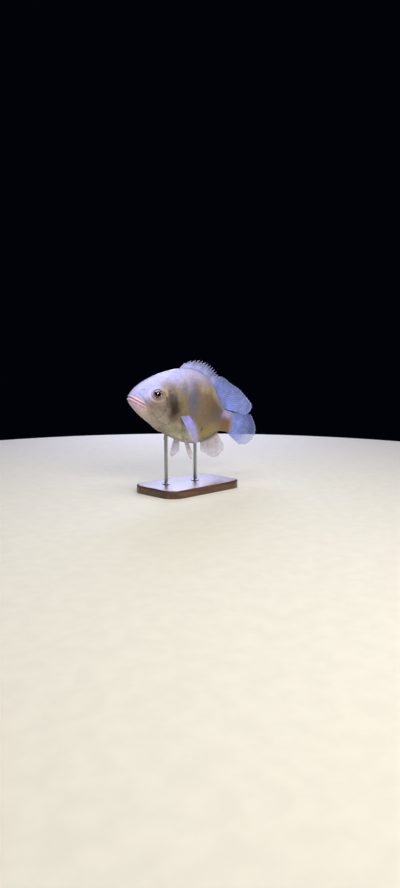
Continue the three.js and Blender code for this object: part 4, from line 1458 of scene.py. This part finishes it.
# The stage
CAMERA = {
    "place": (-0.6935, -0.7191, 0.1923), "pitch": 83.0, "heading": -45.0, "lens": 26.92,
    "sensor": 36,
}
# Each light's place, what it aims at, its size, the setting that holds its power, and its colour
LIGHTS = (
    ("softbox", (-0.1, -0.15, 1.1), (0, 0, 0.1), (1.1, 0.9), "key", "FFFDF8"),
    ("fill", (-0.4, -1.0, 0.72), (0.02, 0, 0.12), (0.6, 0.5), "fill", "FFF8F0"),
    ("rear_light", (0.75, 0.8, 0.6), (0, 0, 0.13), (0.5, 0.5), "rim", "D5D8FF"),
)


def floor_material(looks):
    """Pale matt paper floor with a faint tooth."""
    material, tree, shader = new_material("matt_paper")
    # A paper's tooth of 0.2 mm wouldn't show, so it is drawn as soft clouds 17 mm across
    tooth = add_node(tree, "noise", add_node(tree, "body"), 1 / (16.67 * MM), 5.0)
    tone = add_node(tree, "range", tooth, 0.3, 0.7, 0.97, 1.02)
    colour = add_node(tree, "tone", 1.0, tuple(looks.floor), tone)
    set_inputs(tree, shader, {"Base Color": colour, "Roughness": 0.85})
    return material


def add_light(name, place, aim, size, power, colour):
    """Adds a soft light at a place, turned to what it aims at."""
    light = bpy.data.lights.new(name, "AREA")
    light.shape = "ELLIPSE"
    light.size, light.size_y = size
    light.energy = power
    light.color = linear(colour)[:3]
    lamp = bpy.data.objects.new(name, light)
    lamp.location = place
    lamp.rotation_euler = (Vector(aim) - Vector(place)).to_track_quat("-Z", "Y").to_euler()
    bpy.context.scene.collection.objects.link(lamp)


class OSCAR_OT_stage(bpy.types.Operator):
    """The round floor, the dark backdrop, soft lights and the camera"""

    bl_idname = "oscar.make_stage"
    bl_label = "Stage"

    def execute(self, context):
        looks = context.scene.oscar_stage
        shape = bmesh.new()
        bmesh.ops.create_circle(shape, cap_ends=True, segments=160, radius=looks.floor_radius)
        mesh = to_mesh("floor", shape)
        mesh.materials.append(floor_material(looks))
        floor = bpy.data.objects.new("floor", mesh)
        context.scene.collection.objects.link(floor)
        world = bpy.data.worlds.new("dark_backdrop")
        world.use_nodes = True
        world.node_tree.nodes["Background"].inputs["Color"].default_value = looks.backdrop
        context.scene.world = world
        for name, place, aim, size, setting, colour in LIGHTS:
            add_light(name, place, aim, size, getattr(looks, setting), colour)
        camera = bpy.data.cameras.new("camera")
        camera.lens = CAMERA["lens"]
        camera.sensor_width = CAMERA["sensor"]
        view = bpy.data.objects.new("camera", camera)
        view.location = CAMERA["place"]
        view.rotation_euler = (
            math.radians(CAMERA["pitch"]), 0, math.radians(CAMERA["heading"]))
        context.scene.collection.objects.link(view)
        context.scene.camera = view
        context.scene.view_settings.view_transform = "Standard"
        return {"FINISHED"}


class OSCAR_PT_panel(bpy.types.Panel):
    """Lists the fish's pieces"""

    bl_idname = "OSCAR_PT_panel"
    bl_label = "Oscar fish"
    bl_space_type = "VIEW_3D"
    bl_region_type = "UI"
    bl_category = "Oscar fish"

    def draw(self, context):
        for operator in OPERATORS:
            self.layout.operator(operator.bl_idname)
        for name, group in GROUPS.items():
            box = self.layout.box()
            box.label(text=group.__doc__)
            for field in group.__annotations__:
                box.prop(getattr(context.scene, name), field)


GROUPS = {
    "oscar_skin": SkinLooks, "oscar_scales": ScaleSizes, "oscar_fins": FinLooks,
    "oscar_eyes": EyeLooks, "oscar_stand": StandLooks, "oscar_stage": StageLooks,
}
OPERATORS = (
    OSCAR_OT_stage, OSCAR_OT_skin, OSCAR_OT_scales, OSCAR_OT_middle_fins, OSCAR_OT_paired_fins,
    OSCAR_OT_eyes, OSCAR_OT_stand,
)


def register():
    """Adds the operators, the panel and the settings to Blender."""
    for kind in (*GROUPS.values(), *OPERATORS, OSCAR_PT_panel):
        bpy.utils.register_class(kind)
    for name, group in GROUPS.items():
        setattr(bpy.types.Scene, name, PointerProperty(type=group))


def unregister():
    """Takes them out again."""
    for name in GROUPS:
        delattr(bpy.types.Scene, name)
    for kind in reversed((*GROUPS.values(), *OPERATORS, OSCAR_PT_panel)):
        bpy.utils.unregister_class(kind)


def main():
    """Makes the whole scene."""
    register()
    bpy.ops.oscar.make_stage()
    bpy.ops.oscar.make_skin()
    bpy.ops.oscar.make_scales()
    bpy.ops.oscar.make_middle_fins()
    bpy.ops.oscar.make_paired_fins()
    bpy.ops.oscar.make_eyes()
    bpy.ops.oscar.make_stand()


if __name__ == "__main__":
    main()
